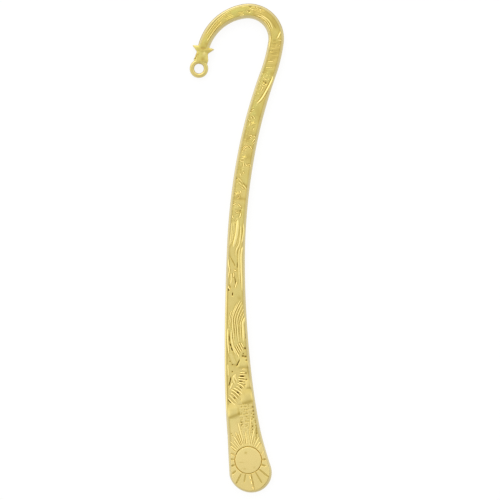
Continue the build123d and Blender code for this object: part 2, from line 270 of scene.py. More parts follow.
# Painted shade on the disc's foot, in the groove round it
DISC_GROOVE = -0.9
PETAL_GAP = 0.2
PETAL_LEAST = 0.45
PETAL_MOST = 9.0
PETAL_MARGIN = 0.55
PETAL_TRIM = 0.05
PETAL_OVERLAP = 0.03
PETAL_SINK = 0.2
PETAL_RISE = 0.1
PETAL_EDGE = 0.07
PETAL_SIDE_RISE = 0.2
PETAL_SIDE_EDGE = 0.15
PETAL_SKIN = (0.065, 3)
PETAL_STEPS = 12
# Painted shade at the petals' feet, fading out on their tops
PETAL_SHADING = (-0.7, 0.7, 0.02, 0.12)
GROOVE_LEAST = 0.14
GROOVE_SIDE = 0.13
GROOVE_BEFORE = 0.4
GROOVE_AFTER = 0.1
GROOVE_SOFT = 0.6

# The two banks of cloud in mm: place, length, width, and how much longer they are upwards
CLOUD_BANKS = [(15.5, -1.95, 1.9, 1.75, 1.2), (18.9, 1.9, 2.0, 1.85, 1.2)]
CLOUD_PLACE = 17.0
CLOUD_SQUARENESS = 3.2
CLOUD_RISE = 0.3
CLOUD_SINK = 0.25
CLOUD_SEATING = 0.03
CLOUD_MARGIN = 0.35
CLOUD_BLANK = (48, 24)
CLOUD_SKIN = (0.075, 14)

# The plating: scale and detail of its noises, where up the part it changes in metres, and its shares
MOTTLE_NOISE = (620.0, 3.0)
GRAIN_NOISE = (5200.0, 2.0)
CAST_NOISE = (160.0, 2.0)
CAST_RANGE = (0.35, 0.65)
LOWER_CLIMB = (-0.05, -0.03)
UPPER_CLIMB = (-0.005, 0.055)
LOWER_SHARE = 0.6
FOOT_TINT = 0.3
MOTTLE_CLIMB = 0.43
MOTTLE_FOOT = 0.07
# How much the rims take on the painted edge shade
EDGE_COVER = 0.9
ROUGH_MOTTLE = 0.12
ROUGH_CREASE = 0.2
ROUGH_CREST = 0.06
GRAIN_BUMP = (0.03, 0.00002)

# The stage: where the camera aims from the foot in mm, the lamp from there in metres, paper and sky
AIM = np.array([-0.09, 55.687])
SENSOR = 36.0
LAMP = (-0.14, 0.42, 0.34)
LAMP_SIZE = 0.3
FLOOR_SIZE = 3.0
FLOOR_GAP = 0.00002
PAPER = (0.95, 0.95, 0.95, 1.0)
WHITE = (1.0, 1.0, 1.0, 1.0)
PAPER_GLOW = 0.88
SKY_LEVEL = 1.43
SKY_OVERHEAD = 0.5
SKY_RIGHT = 0.12
SKY_UP = 0.42
CLIP_START = 0.01

# Raised strokes, in mm: points along the spine and across it, then width and height
FAN = [
    ([(19.12, -3.06), (17.9, -2.15), (16.68, -1.11)], 0.42, 0.17),
    ([(19.8, -2.65), (18.7, -1.8), (17.36, -0.76)], 0.4, 0.11),
    ([(20.23, -2.15), (19.5, -1.3), (18.28, -0.45)], 0.46, 0.19),
    ([(21.05, -2.11), (20.2, -0.95), (18.86, 0.21)], 0.46, 0.2),
    ([(21.35, -1.42), (20.5, -0.2), (19.28, 0.9)], 0.5, 0.2),
    ([(21.85, -0.8), (21.0, 0.3), (19.78, 1.15)], 0.4, 0.1),
    ([(22.51, -0.5), (21.9, 0.6), (20.92, 1.45)], 0.42, 0.18),
    ([(22.62, -0.05), (22.5, 0.8), (22.01, 1.65)], 0.36, 0.11),
    ([(23.32, -0.18), (23.2, 0.8), (22.83, 1.9)], 0.4, 0.18),
    ([(23.92, -0.08), (23.8, 0.9), (23.56, 2.0)], 0.42, 0.2),
    ([(24.5, 0.25), (24.5, 1.1), (24.38, 2.08)], 0.36, 0.15),
    ([(25.1, 0.4), (25.0, 1.2), (24.9, 1.9)], 0.36, 0.16),
    ([(25.8, 1.0), (25.9, 1.6), (25.8, 2.1)], 0.34, 0.14),
]
PLUME = [
    ([(36.6, -2.0), (35.0, -2.1), (33.0, -2.15), (31.2, -2.1), (29.9, -2.05)], 0.5, 0.22),
    ([(36.2, -1.15), (34.0, -1.25), (32.2, -1.05), (30.6, -0.6), (29.2, 0.05)], 0.6, 0.18),
    ([(30.3, -1.7), (29.3, -1.4), (28.1, -1.0), (27.1, -0.6)], 1.3, 0.07),
    ([(31.6, -0.75), (30.6, -0.2), (29.6, 0.25), (28.8, 0.5)], 0.42, 0.2),
    ([(31.9, -0.3), (30.9, 0.2), (29.7, 0.75)], 0.4, 0.2),
    ([(32.3, 0.15), (31.2, 0.6), (30.0, 1.2)], 0.42, 0.2),
    ([(32.6, 0.6), (31.6, 1.05), (30.4, 1.55)], 0.4, 0.18),
    ([(32.6, 1.1), (31.9, 1.45), (31.2, 1.75)], 0.4, 0.18),
    ([(24.9, -0.7), (23.9, -0.8), (22.9, -0.35)], 0.5, 0.14),
    ([(24.6, -1.1), (23.4, -1.3), (22.3, -0.9)], 0.6, 0.14),
    ([(27.6, -2.45), (25.6, -2.4), (24.2, -2.5)], 0.5, 0.12),
    ([(22.6, -1.6), (21.8, -1.9), (21.0, -2.4)], 0.6, 0.14),
]
SWEEPS = [
    ([(43.0, 0.7), (42.0, 0.15), (41.0, -0.3), (39.8, -0.85), (38.4, -1.3), (37.2, -1.5), (36.4, -1.62)],
     0.34, 0.13),
    ([(40.9, -0.95), (39.6, -1.35), (38.2, -1.68), (36.9, -1.8)], 0.34, 0.12),
    ([(43.3, 1.3), (42.4, 0.72), (41.4, 0.22), (40.2, -0.35), (38.7, -0.82), (37.0, -0.82), (35.2, -0.74),
      (33.4, -0.65), (32.3, -0.4)], 0.44, 0.18),
    ([(43.2, 1.85), (42.2, 1.2), (41.2, 0.68), (40.0, 0.1), (38.4, -0.3), (36.8, -0.22), (35.0, -0.15),
      (33.5, -0.02)], 0.36, 0.16),
    ([(42.4, 2.05), (41.4, 1.4), (40.4, 0.95), (39.2, 0.5), (37.8, 0.25), (36.2, 0.38), (34.6, 0.42),
      (33.2, 0.55), (32.5, 0.65)], 0.44, 0.18),
    ([(41.3, 2.1), (40.4, 1.65), (39.4, 1.15), (38.2, 0.78), (36.8, 0.72)], 0.34, 0.17),
    ([(40.3, 2.2), (39.4, 1.85), (38.4, 1.45), (37.0, 1.1), (35.2, 1.05), (33.6, 1.12)], 0.36, 0.16),
    ([(39.1, 2.3), (38.2, 2.0), (37.2, 1.7), (36.0, 1.75), (34.8, 1.8), (33.6, 1.8), (32.7, 1.85)],
     0.75, 0.24),
]
RIBBONS = [
    ([(63.9, 0.05), (61.5, 0.08), (59.6, -0.02), (57.6, -0.42), (56.5, -0.72)], 1.0, 0.27),
    ([(56.9, 1.72), (56.0, 1.5), (54.6, 1.36), (51.5, 1.42), (48.5, 1.55), (45.1, 1.72)], 0.56, 0.22),
    ([(63.5, -1.32), (61.0, -1.32), (58.5, -1.42), (56.4, -1.6)], 0.4, 0.11),
    ([(63.3, -0.92), (61.0, -0.92), (58.8, -1.02), (57.2, -1.15)], 0.34, 0.1),
    ([(63.2, -0.6), (61.0, -0.56), (58.8, -0.72)], 0.3, 0.1),
    ([(62.6, 0.9), (60.6, 1.0), (58.6, 0.92), (57.2, 0.7), (55.8, 0.12), (54.0, 0.05)], 0.5, 0.15),
    ([(63.0, 1.45), (60.8, 1.7), (58.8, 1.55), (57.4, 1.3)], 0.42, 0.14),
    ([(56.8, 1.1), (55.4, 0.85), (53.0, 0.85), (50.0, 0.92), (46.8, 1.1)], 0.5, 0.1),
    ([(53.8, -1.8), (52.2, -1.72), (51.1, -1.55), (50.0, -1.62), (48.6, -1.82)], 0.4, 0.2),
    ([(50.9, -0.5), (50.75, -0.1), (50.55, 0.28)], 0.42, 0.22),
    ([(50.3, -0.55), (49.6, -0.42), (48.9, -0.55)], 0.42, 0.22),
    ([(47.9, 0.35), (47.1, 0.15), (46.2, -0.15)], 0.42, 0.2),
    ([(50.2, -1.1), (48.6, -1.0), (47.2, -1.2)], 0.55, 0.12),
    ([(46.9, -1.75), (46.4, -1.65), (45.8, -1.25)], 0.42, 0.22),
]


# A stroke that curls in on itself: its points, width and height at size 1
CURL_POINTS = ((-1.0, -0.6), (0.4, -0.8), (0.8, 0.1), (0.2, 0.6), (-0.3, 0.1))
CURL_WIDTH = 0.48
CURL_RISE = 0.26


def curl(distance, across, size, turn):
    """A stroke that curls in on itself, turned by an angle in degrees."""
    lean = radians(turn)
    spots = []
    for x, y in CURL_POINTS:
        up = x * cos(lean) - y * sin(lean)
        out = x * sin(lean) + y * cos(lean)
        spots.append((distance + size * up, across + size * out))
    return spots, CURL_WIDTH * size, CURL_RISE * size


CHEVRONS = [
    ([(80.6, -1.1), (81.3, -0.75), (81.9, -0.3), (82.3, 0.15)], 0.36, 0.2),
    ([(81.2, -1.2), (81.8, -0.75), (82.4, -0.3)], 0.3, 0.15),
    ([(82.35, 0.2), (82.2, 0.6), (81.8, 1.0), (81.3, 1.45)], 0.36, 0.2),
    ([(84.4, 1.4), (83.9, 1.15), (83.2, 0.9)], 0.36, 0.18),
    ([(83.6, 1.5), (83.2, 1.25), (82.8, 1.05)], 0.3, 0.15),
    ([(84.8, -0.15), (85.0, 0.25), (84.6, 0.6)], 0.32, 0.16),
    ([(84.8, 0.7), (85.0, 1.1), (84.6, 1.4)], 0.32, 0.16),
    ([(84.1, 0.1), (84.45, 0.35), (84.1, 0.7)], 0.3, 0.13),
    ([(78.7, -1.0), (79.0, -0.5), (78.7, -0.05)], 0.34, 0.17),
    ([(78.3, -1.35), (78.15, -0.8), (78.3, -0.2)], 0.34, 0.16),
    ([(77.8, -0.3), (77.3, -0.2), (76.8, -0.2)], 0.34, 0.17),
    ([(77.8, 0.15), (77.4, 0.5), (77.1, 0.85)], 0.32, 0.15),
    ([(75.6, -0.1), (75.4, 0.12), (75.1, 0.3)], 0.36, 0.16),
    ([(75.2, -0.8), (74.9, -0.65), (74.4, -0.6)], 0.42, 0.19),
    ([(74.0, -1.05), (73.4, -0.4), (73.0, 0.2)], 0.36, 0.1),
    ([(73.1, -0.95), (72.6, -0.3), (72.1, 0.2)], 0.36, 0.1),
    ([(72.4, 0.35), (71.9, 0.9), (71.3, 1.45)], 0.38, 0.1),
    ([(71.9, -0.1), (71.6, 0.4), (71.1, 0.9)], 0.32, 0.16),
    ([(70.9, -0.2), (70.5, 0.05), (70.1, 0.25)], 0.38, 0.17),
    ([(70.3, -1.4), (69.9, -1.0), (69.5, -1.1)], 0.32, 0.15),
    ([(67.5, -0.3), (67.1, 0.2), (66.5, 0.75)], 0.36, 0.19),
    ([(67.1, -1.55), (67.3, -1.15), (67.5, -0.7)], 0.34, 0.16),
    ([(65.3, 0.65), (64.6, 0.6), (63.9, 0.4)], 0.46, 0.23),
    ([(64.5, -1.35), (64.0, -1.25), (63.7, -1.0)], 0.38, 0.18),
    ([(63.6, -0.75), (63.35, -0.5), (63.6, -0.25)], 0.3, 0.15),
    ([(89.9, -0.65), (89.6, -0.15), (89.1, 0.3)], 0.34, 0.17),
    ([(89.5, -1.15), (89.3, -0.7), (88.8, -0.4)], 0.34, 0.17),
    ([(88.9, -1.35), (88.4, -1.0), (88.6, -0.5)], 0.34, 0.16),
    ([(88.1, -0.9), (87.7, -0.65), (87.2, -0.8)], 0.34, 0.16),
    ([(87.0, 0.75), (86.7, 0.45), (86.2, 0.5)], 0.32, 0.15),
    ([(91.6, -0.5), (91.2, -0.9), (90.9, -1.2)], 0.36, 0.18),
    ([(90.7, -1.0), (90.4, -1.3), (90.1, -1.35)], 0.32, 0.16),
    curl(77.3, 1.2, 0.5, 40.0),
    curl(65.7, -0.3, 0.55, 200.0),
    curl(69.4, -0.45, 0.5, 110.0),
]
CRESCENT = [
    ([(101.1, 1.3), (100.1, 1.42), (98.5, 1.28), (97.0, 1.02), (95.5, 0.72), (94.5, 0.42), (93.6, 0.0),
      (93.0, -0.4)], 0.68, 0.32),
    ([(97.5, -0.2), (96.9, -0.18), (96.2, -0.3)], 0.34, 0.16),
    ([(99.3, -0.7), (99.6, -0.15), (99.3, 0.35)], 0.3, 0.13),
    ([(98.2, -0.7), (97.9, -0.2), (98.2, 0.4)], 0.3, 0.13),
]
RIPPLES = [
    ([(102.2, -1.2), (102.5, -0.4), (102.9, 1.0)], 0.32, 0.06),
    ([(103.8, -1.25), (104.1, -0.4), (104.5, 0.6)], 0.34, 0.09),
    ([(104.6, -0.7), (104.75, -0.1), (105.0, 0.7)], 0.26, 0.06),
    ([(105.8, -0.9), (106.2, -0.1), (106.7, 1.25)], 0.34, 0.09),
    ([(106.6, -1.2), (106.8, -0.7), (107.0, -0.2)], 0.26, 0.07),
    ([(107.6, -1.15), (107.95, -0.5), (108.15, 0.2)], 0.34, 0.1),
    ([(108.2, 0.5), (108.4, 0.9), (108.5, 1.3)], 0.3, 0.1),
    ([(108.5, -0.9), (108.65, -0.3), (108.7, 0.3)], 0.26, 0.07),
    ([(109.4, -0.9), (109.55, -0.4), (109.5, 0.1)], 0.3, 0.1),
    ([(109.7, 0.4), (109.8, 0.85), (109.75, 1.35)], 0.36, 0.17),
]
CROWN_RIM = [
    ([(112.6, -1.0), (113.6, -0.85), (115.0, -0.72), (116.5, -0.68), (118.0, -0.8), (118.8, -0.95)],
     0.42, 0.2),
    ([(112.2, -0.52), (113.4, -0.4), (115.0, -0.26), (116.8, -0.36), (118.9, -0.5)], 0.58, 0.2),
    ([(112.2, -1.3), (113.4, -1.22), (115.0, -1.12), (116.6, -1.2)], 0.32, 0.12),
    ([(107.4, -1.48), (109.2, -1.48), (111.2, -1.45)], 0.36, 0.17),
]
CROWN_CURLS = [
    ([(118.0, 0.35), (118.5, 0.75), (118.1, 1.1)], 0.36, 0.19),
    ([(118.9, 0.8), (119.4, 1.1), (119.0, 1.3)], 0.34, 0.18),
    ([(119.6, 0.2), (120.1, 0.35), (120.5, 0.05)], 0.36, 0.19),
    ([(120.3, 0.75), (120.7, 0.5), (120.95, 0.15)], 0.32, 0.16),
    ([(121.3, -0.45), (121.6, 0.0), (121.4, 0.4)], 0.32, 0.16),
    ([(122.2, -0.9), (123.0, -0.95), (123.8, -0.85)], 0.32, 0.13),
    ([(122.3, -0.3), (123.2, -0.3), (124.0, -0.15)], 0.32, 0.13),
    ([(110.0, 0.2), (110.8, 0.68), (111.7, 1.3)], 0.6, 0.32),
]
TRAIL = [
    ([(134.2, 0.48), (132.0, 0.5), (130.0, 0.65), (128.0, 0.8), (125.2, 1.0)], 0.42, 0.24),
    ([(135.4, -0.35), (133.6, -0.52), (131.5, -0.55), (129.8, -0.45), (128.2, -0.38)], 0.44, 0.26),
    ([(134.6, 0.05), (132.5, 0.0), (130.0, 0.1), (128.0, 0.2)], 0.32, 0.13),
    ([(127.5, -0.35), (126.3, -0.35), (125.0, -0.45)], 0.36, 0.1),
    ([(127.6, -0.1), (127.5, 0.2), (127.6, 0.5)], 0.26, 0.12),
    ([(127.0, -0.05), (126.9, 0.25), (127.0, 0.6)], 0.26, 0.12),
    ([(126.4, 0.0), (126.3, 0.3), (126.4, 0.65)], 0.26, 0.12),
    ([(125.8, 0.05), (125.7, 0.35), (125.8, 0.7)], 0.26, 0.12),
]

# Rays over the sun: angle in degrees, then where each starts and ends from the sun's middle in mm
RAYS = [
    (-61.0, 3.6, 4.9), (-51.0, 3.6, 5.6), (-42.5, 3.6, 5.9), (-35.0, 3.6, 7.0), (-27.5, 3.6, 6.2),
    (-22.0, 3.7, 6.9), (-16.0, 3.7, 8.0), (-11.5, 3.6, 7.3), (-6.6, 3.7, 10.0), (-1.5, 3.6, 5.6),
    (3.8, 3.6, 7.2), (8.6, 3.7, 6.4), (12.0, 5.7, 11.6), (14.6, 3.6, 6.2), (20.0, 3.7, 8.2),
    (26.5, 3.6, 6.3), (34.0, 3.6, 6.6), (42.5, 3.6, 5.6),
]
RAY_WIDTHS = (0.3, 0.36, 0.42)
RAY_MARGIN = 0.5
RAY_TRIM = 0.1
LONG_RAY = 6.9
LOW_RAY = 0.12
HIGH_RAY = 0.16

# Raised edges beside the lowest groove of the sun, like the strokes above
GROOVE_EDGES = [
    ([(-0.9, -0.28), (-1.4, -0.28), (-2.0, -0.26)], 0.6, 0.36),
    ([(-2.3, -0.24), (-2.7, -0.2), (-3.2, -0.16)], 0.6, 0.36),
    ([(-3.8, -0.14), (-4.1, -0.1), (-4.5, -0.06)], 0.55, 0.34),
]

# Grooves between the petals: angle in degrees, then where each starts and ends from the sun's middle in mm
PETAL_GROOVES = [
    (48.0, 3.6, 5.0), (71.0, 3.5, 4.2), (97.0, 3.6, 4.6), (119.0, 3.5, 4.8), (140.0, 3.8, 6.7),
    (159.5, 3.8, 6.9), (178.6, 3.8, 7.8), (201.0, 3.8, 5.8), (218.0, 4.1, 6.8), (240.0, 4.2, 5.4),
    (261.0, 3.7, 4.7), (283.0, 3.6, 4.6), (301.0, 3.6, 4.8), (316.0, 3.6, 5.0),
]

# How much painted shade the groove round the sun gets, by the angle in degrees
RING_TURNS = (0, 45, 80, 105, 130, 180, 215, 250, 290, 320, 360)
RING_TONES = (0.45, 0.42, 0.12, 0.12, 0.42, 0.45, 0.35, 0.12, 0.15, 0.55, 0.45)

# Faint marks on the disc in mm: place along and across, length, width and depth
DISC_MARKS = [
    (4.9, -0.3, 0.3, 0.4, 0.5),
    (2.7, -1.7, 0.15, 0.7, 0.3),
    (1.0, -1.2, 0.18, 0.9, 0.3),
    (0.9, 1.2, 0.4, 0.4, 0.25),
]

# Cut lines in mm, with points, width and depth
GROOVES = [
    ([(24.3, -1.85), (23.0, -2.12), (21.7, -2.62)], 0.12, 0.26),
    ([(35.8, -1.64), (34.2, -1.72), (32.7, -1.66), (31.2, -1.26), (29.8, -0.78)], 0.1, 0.13),
    ([(34.4, -1.71), (33.7, -1.73), (33.0, -1.71)], 0.1, 0.05),
    ([(32.5, -1.6), (32.1, -1.5), (31.7, -1.42)], 0.13, 0.14),
    ([(31.5, -1.35), (31.05, -1.2), (30.6, -1.05)], 0.13, 0.16),
    ([(28.5, 0.7), (27.9, 0.4), (27.2, -0.02), (26.6, -0.35)], 0.12, 0.2),
    ([(35.3, 2.2), (34.4, 2.25), (33.2, 2.3)], 0.1, 0.14),
    ([(24.1, 0.35), (24.12, 0.95), (24.05, 1.6)], 0.1, 0.24),
    ([(22.9, 0.05), (22.85, 0.6), (22.8, 1.2)], 0.1, 0.22),
    ([(23.5, 0.1), (23.45, 0.9), (23.4, 1.6)], 0.08, 0.1),
    ([(21.5, 0.05), (21.2, 0.35), (20.95, 0.65)], 0.12, 0.22),
    ([(20.35, -0.6), (20.05, -0.38), (19.8, -0.2)], 0.12, 0.24),
    ([(19.7, -0.1), (19.45, 0.1), (19.2, 0.28)], 0.1, 0.14),
    ([(21.0, -0.7), (20.4, 0.2), (19.4, 1.0)], 0.08, 0.1),
    ([(22.2, -0.4), (21.8, 0.5), (21.2, 1.1)], 0.08, 0.1),
    ([(18.9, -3.05), (18.2, -2.6), (17.6, -2.15)], 0.13, 0.26),
    ([(19.1, -1.6), (18.85, -1.38), (18.5, -1.15)], 0.13, 0.22),
    ([(57.5, 1.2), (56.4, 0.75), (55.4, 0.45), (53.0, 0.38), (50.0, 0.4), (47.4, 0.45)], 0.1, 0.1),
    ([(54.6, -1.5), (53.4, -0.92), (52.4, -0.35), (51.6, -0.05)], 0.13, 0.11),
    ([(52.9, 0.45), (52.1, 0.48), (51.3, 0.45)], 0.11, 0.12),
    ([(49.3, -0.25), (48.4, -0.05), (47.4, 0.1)], 0.13, 0.16),
    ([(47.3, -1.5), (46.8, -1.35), (46.3, -1.1)], 0.11, 0.16),
    ([(45.3, -0.68), (44.85, -0.71), (44.35, -0.76)], 0.12, 0.26),
    ([(74.5, -1.15), (73.9, -0.55), (73.3, 0.1)], 0.12, 0.04),
    ([(72.9, 0.3), (72.3, 1.0), (71.6, 1.65)], 0.14, 0.05),
    ([(67.0, 0.3), (66.6, 0.65), (66.1, 0.95)], 0.12, 0.12),
    ([(85.15, 0.4), (85.1, 1.1), (85.15, 1.7)], 0.1, 0.08),
    ([(119.6, -1.0), (118.4, -1.25), (117.2, -1.05)], 0.12, 0.07),
    ([(116.8, 0.1), (115.2, 0.1), (113.6, 0.18), (112.2, 0.4)], 0.2, 0.02),
    ([(11.2, 3.3), (9.3, 3.0), (7.4, 2.7)], 0.2, 0.06),
]

# Pits and dimples in mm, both darkened with painted shade, the dimples less: places along and across the
# spine, then size
PITS = [
    (45.85, -1.72, 0.22), (31.1, 2.1, 0.24), (29.2, 1.45, 0.2), (29.8, 1.6, 0.15), (29.0, 2.1, 0.22),
    (28.1, 2.25, 0.18), (27.2, -1.25, 0.17), (28.0, -1.85, 0.13), (25.4, -1.4, 0.17), (25.0, 2.0, 0.13),
    (24.7, 2.0, 0.13), (23.2, 2.0, 0.19), (22.0, 1.45, 0.2), (20.3, 1.32, 0.22), (19.6, 1.5, 0.16),
    (18.4, 0.3, 0.22), (17.2, -2.9, 0.16), (12.6, -0.2, 0.15), (11.95, -0.35, 0.14), (11.2, 2.35, 0.17),
    (10.5, 2.25, 0.15), (13.5, 2.85, 0.15), (14.2, 2.95, 0.15), (15.1, 3.0, 0.17), (16.1, 3.1, 0.19),
]
DIMPLES = [
    (16.3, -2.1, 0.16), (13.0, 2.4, 0.16), (11.6, 1.1, 0.14), (12.1, 2.2, 0.14), (98.6, 0.2, 0.24),
    (98.8, -0.4, 0.22), (82.05, 0.55, 0.18), (65.8, 0.5, 0.2), (73.7, -1.35, 0.18), (121.0, -0.2, 0.22),
    (120.8, 0.85, 0.22), (84.2, 0.05, 0.16), (11.6, -0.9, 0.14), (10.4, 0.6, 0.14), (12.9, 0.9, 0.15),
    (14.6, 1.1, 0.15), (9.6, -2.9, 0.15), (10.1, -3.1, 0.15),
]

# Broad patches of painted shade, below zero, and painted highlight, above it, each with a slight dip or
# swell:
# place, length, width, turn in degrees, tone
SHADES = [
    (9.5, -0.2, 3.0, 2.0, 0, 0.12), (8.6, 2.95, 1.7, 0.25, 8, -0.12), (19.1, -0.9, 0.6, 0.6, 0, -0.5),
    (18.2, -2.4, 0.5, 0.5, 0, -0.5), (20.2, -0.25, 0.45, 0.45, 0, -0.45), (21.4, 0.4, 0.4, 0.4, 0, -0.5),
    (23.0, 0.5, 0.28, 0.5, 0, -0.35), (24.1, 1.0, 0.28, 0.6, 0, -0.35), (25.4, 2.6, 0.8, 0.4, 0, -0.3),
    (27.1, -1.0, 0.35, 0.8, 0, -0.3), (27.5, 0.05, 0.9, 0.3, 29, -0.25), (29.1, 1.6, 0.35, 0.55, 0, -0.35),
    (31.8, 1.3, 0.9, 0.35, -34, -0.35), (32.4, 0.75, 0.4, 0.4, 0, -0.35), (34.8, 1.9, 1.5, 0.35, 0, 0.4),
    (35.2, -0.48, 1.8, 0.16, 0, -0.35), (35.5, 0.72, 1.8, 0.16, 0, -0.35), (36.9, -1.4, 0.6, 0.3, 0, -0.35),
    (41.0, 0.2, 0.9, 0.7, 0, -0.2), (43.8, 1.0, 0.6, 0.6, 0, -0.3), (48.4, -0.1, 0.85, 0.3, -10, -0.14),
    (49.9, -0.3, 0.4, 0.35, 0, 0.3), (50.5, 1.85, 5.0, 0.3, 0, 0.15), (53.0, -0.75, 1.3, 0.28, -31, -0.2),
    (59.5, -0.1, 2.6, 0.4, 6, 0.4), (61.0, 1.4, 1.0, 0.35, 0, -0.3), (65.6, 0.35, 0.35, 0.7, 30, -0.5),
    (68.85, 0.0, 0.4, 1.7, 0, -0.42), (70.5, 0.1, 0.5, 0.5, 0, 0.35), (72.6, 0.7, 0.35, 1.3, 25, -0.22),
    (76.3, -0.8, 1.1, 0.4, -15, -0.38), (79.7, 0.85, 1.1, 1.0, 0, -0.33), (82.4, 1.3, 0.45, 0.5, 0, -0.3),
    (83.6, -0.4, 1.1, 0.7, -10, -0.3), (85.6, -0.4, 1.5, 1.2, 0, -0.28), (89.3, 1.2, 0.9, 0.6, 0, -0.2),
    (91.2, 0.55, 1.6, 1.0, 0, -0.28), (98.8, 0.1, 0.45, 0.45, 0, -0.4), (101.3, -0.8, 0.8, 0.5, 0, -0.38),
    (101.3, 0.8, 0.8, 0.5, 0, -0.42), (103.4, 0.5, 0.33, 1.3, -12, -0.3), (105.4, 0.3, 0.33, 1.5, -12, -0.33),
    (107.1, 0.1, 0.4, 1.5, -18, -0.3), (109.0, 0.1, 0.33, 1.5, -10, -0.35),
    (114.6, 0.75, 3.2, 0.65, 0, -0.36),
    (115.5, -0.4, 3.4, 0.35, 0, 0.3), (119.6, -0.5, 0.6, 0.7, 0, -0.3), (121.0, -0.2, 0.35, 0.35, 0, -0.3),
    (124.3, -0.7, 0.6, 0.4, 0, 0.25), (128.1, -0.8, 0.5, 0.4, 0, 0.25), (131.0, -0.75, 1.5, 0.25, 0, 0.25),
    (131.5, -0.2, 2.0, 0.15, 0, -0.3), (136.9, -0.2, 0.9, 0.8, 0, -0.38),
]

# Patches of painted shade and painted highlight on the star and the plate under it, from the star's middle:
# place, length, width, tone
STAR_SHADING = [
    (-2.0, -0.35, 0.4, 0.4, -0.35), (-0.55, 0.15, 0.3, 0.7, -0.42), (-0.5, 1.9, 0.4, 0.6, 0.6),
    (-1.0, -1.2, 0.35, 0.22, -0.7), (-0.8, -2.0, 0.4, 0.5, 0.55), (1.5, 1.05, 0.6, 0.35, -0.5),
    (0.7, -0.5, 0.5, 0.3, 0.65), (2.2, -0.25, 0.5, 0.5, -0.55), (1.6, -1.3, 0.5, 0.25, 0.5),
]
SHADES += [(STAR_PLACE + s, v, long, wide, 0, tone) for s, v, long, wide, tone in STAR_SHADING]

# Soft swells of the ground in mm: where the lower edge runs, its two sides and the rise
SWELLS = [(26.0, 0.2, 3.4, 0.2), (20.7, 1.8, 3.8, 0.2), (85.3, -0.2, 2.2, 0.03)]

# What the lengths and the colours in the panel share
LENGTH = {"subtype": "DISTANCE", "unit": "LENGTH"}
COLOUR = {"subtype": "COLOR", "size": 4, "min": 0.0, "max": 1.0}


class CrookSizes(bpy.types.PropertyGroup):
    """Sizes of the cast plate and its ornaments."""

    thickness: FloatProperty(
        name="Thickness", description="Height of the plate's front face", default=0.002, **LENGTH)
    front_edge: FloatProperty(
        name="Front edge", description="Rounding of the plate's front edge", default=0.00045, **LENGTH)
    back_edge: FloatProperty(
        name="Back edge", description="Rounding of the plate's back edge", default=0.0003, **LENGTH)
    sink: FloatProperty(
        name="Sink", description="How deep ornaments sit in the plate", default=0.0002, **LENGTH)


class GoldFinish(bpy.types.PropertyGroup):
    """Colours and polish of the plating, with the colours of its painted highlight and painted shade."""

    gold: FloatVectorProperty(
        name="Gold", description="Colour of the plating on the hook",
        default=(0.677, 0.556, 0.176, 1.0), **COLOUR)
    pale_gold: FloatVectorProperty(
        name="Pale gold", description="Colour of the plating on the foot",
        default=(0.845, 0.682, 0.278, 1.0), **COLOUR)
    # Painted highlight on the crests, standing partly for polish
    crest_highlight: FloatVectorProperty(
        name="Rubbed gold", description="Colour of the crests that hands have polished",
        default=(0.97, 0.81, 0.36, 1.0), **COLOUR)
    tarnish: FloatVectorProperty(
        name="Tarnish", description="Tint of the patches that have greened a little",
        default=(0.92, 1.0, 0.86, 1.0), **COLOUR)
    # Painted shade in the shallow hollows
    soft_shade: FloatVectorProperty(
        name="Honey", description="Colour of the shallow hollows, where the plating browned",
        default=(0.6, 0.455, 0.115, 1.0), **COLOUR)
    warm: FloatVectorProperty(
        name="Warm", description="Tint of the patches that have browned a little",
        default=(1.0, 0.94, 0.85, 1.0), **COLOUR)
    # Painted shade on the rounded edge and steep sides, greyer than the plating
    edge: FloatVectorProperty(
        name="Edge", description="Colour of the plate's rounded edge",
        default=(0.59, 0.5, 0.265, 1.0), **COLOUR)
    # Painted shade deep in the creases
    deep_shade: FloatVectorProperty(
        name="Crevice", description="Colour in the creases of the casting",
        default=(0.17, 0.11, 0.025, 1.0), **COLOUR)
    polish: FloatProperty(
        name="Roughness", description="Roughness of the polished faces",
        default=0.27, min=0.0, max=1.0, subtype="FACTOR")


class StageSettings(bpy.types.PropertyGroup):
    """Camera and light of the stage."""

    view_width: FloatProperty(
        name="View width", description="Width of the picture at the plate's front", default=0.12551, **LENGTH)
    lens: FloatProperty(
        name="Lens", description="Focal length of the camera in mm", default=160.0, min=1.0)
    key_power: FloatProperty(
        name="Key lamp", description="Power of the lamp at the upper left in watts",
        default=0.3, min=0.0, unit="POWER")


def spine(distance):
    """Points of the spine in mm, from the middle of the foot, and its directions there."""
    distance = np.asarray(distance, dtype=float)
    inside = np.clip(distance, 0.0, SPINE_END)
    heading = np.full_like(inside, radians(FOOT_HEADING))
    x = np.zeros_like(inside)
    y = np.zeros_like(inside)
    start = 0.0
    start_heading = radians(FOOT_HEADING)
    for radius, turn in ARCS:
        length = radius * radians(abs(turn))
        bend = (1 if turn > 0 else -1) / radius
        run = np.clip(inside - start, 0.0, length)
        after = start_heading + bend * run
        x += (cos(start_heading) - np.cos(after)) / bend
        y += (np.sin(after) - sin(start_heading)) / bend
        heading += bend * run
        start += length
        start_heading += bend * length
    forward = np.stack([np.sin(heading), np.cos(heading)], axis=-1)
    points = np.stack([x, y], axis=-1) + forward * (distance - inside)[..., None]
    return points, forward


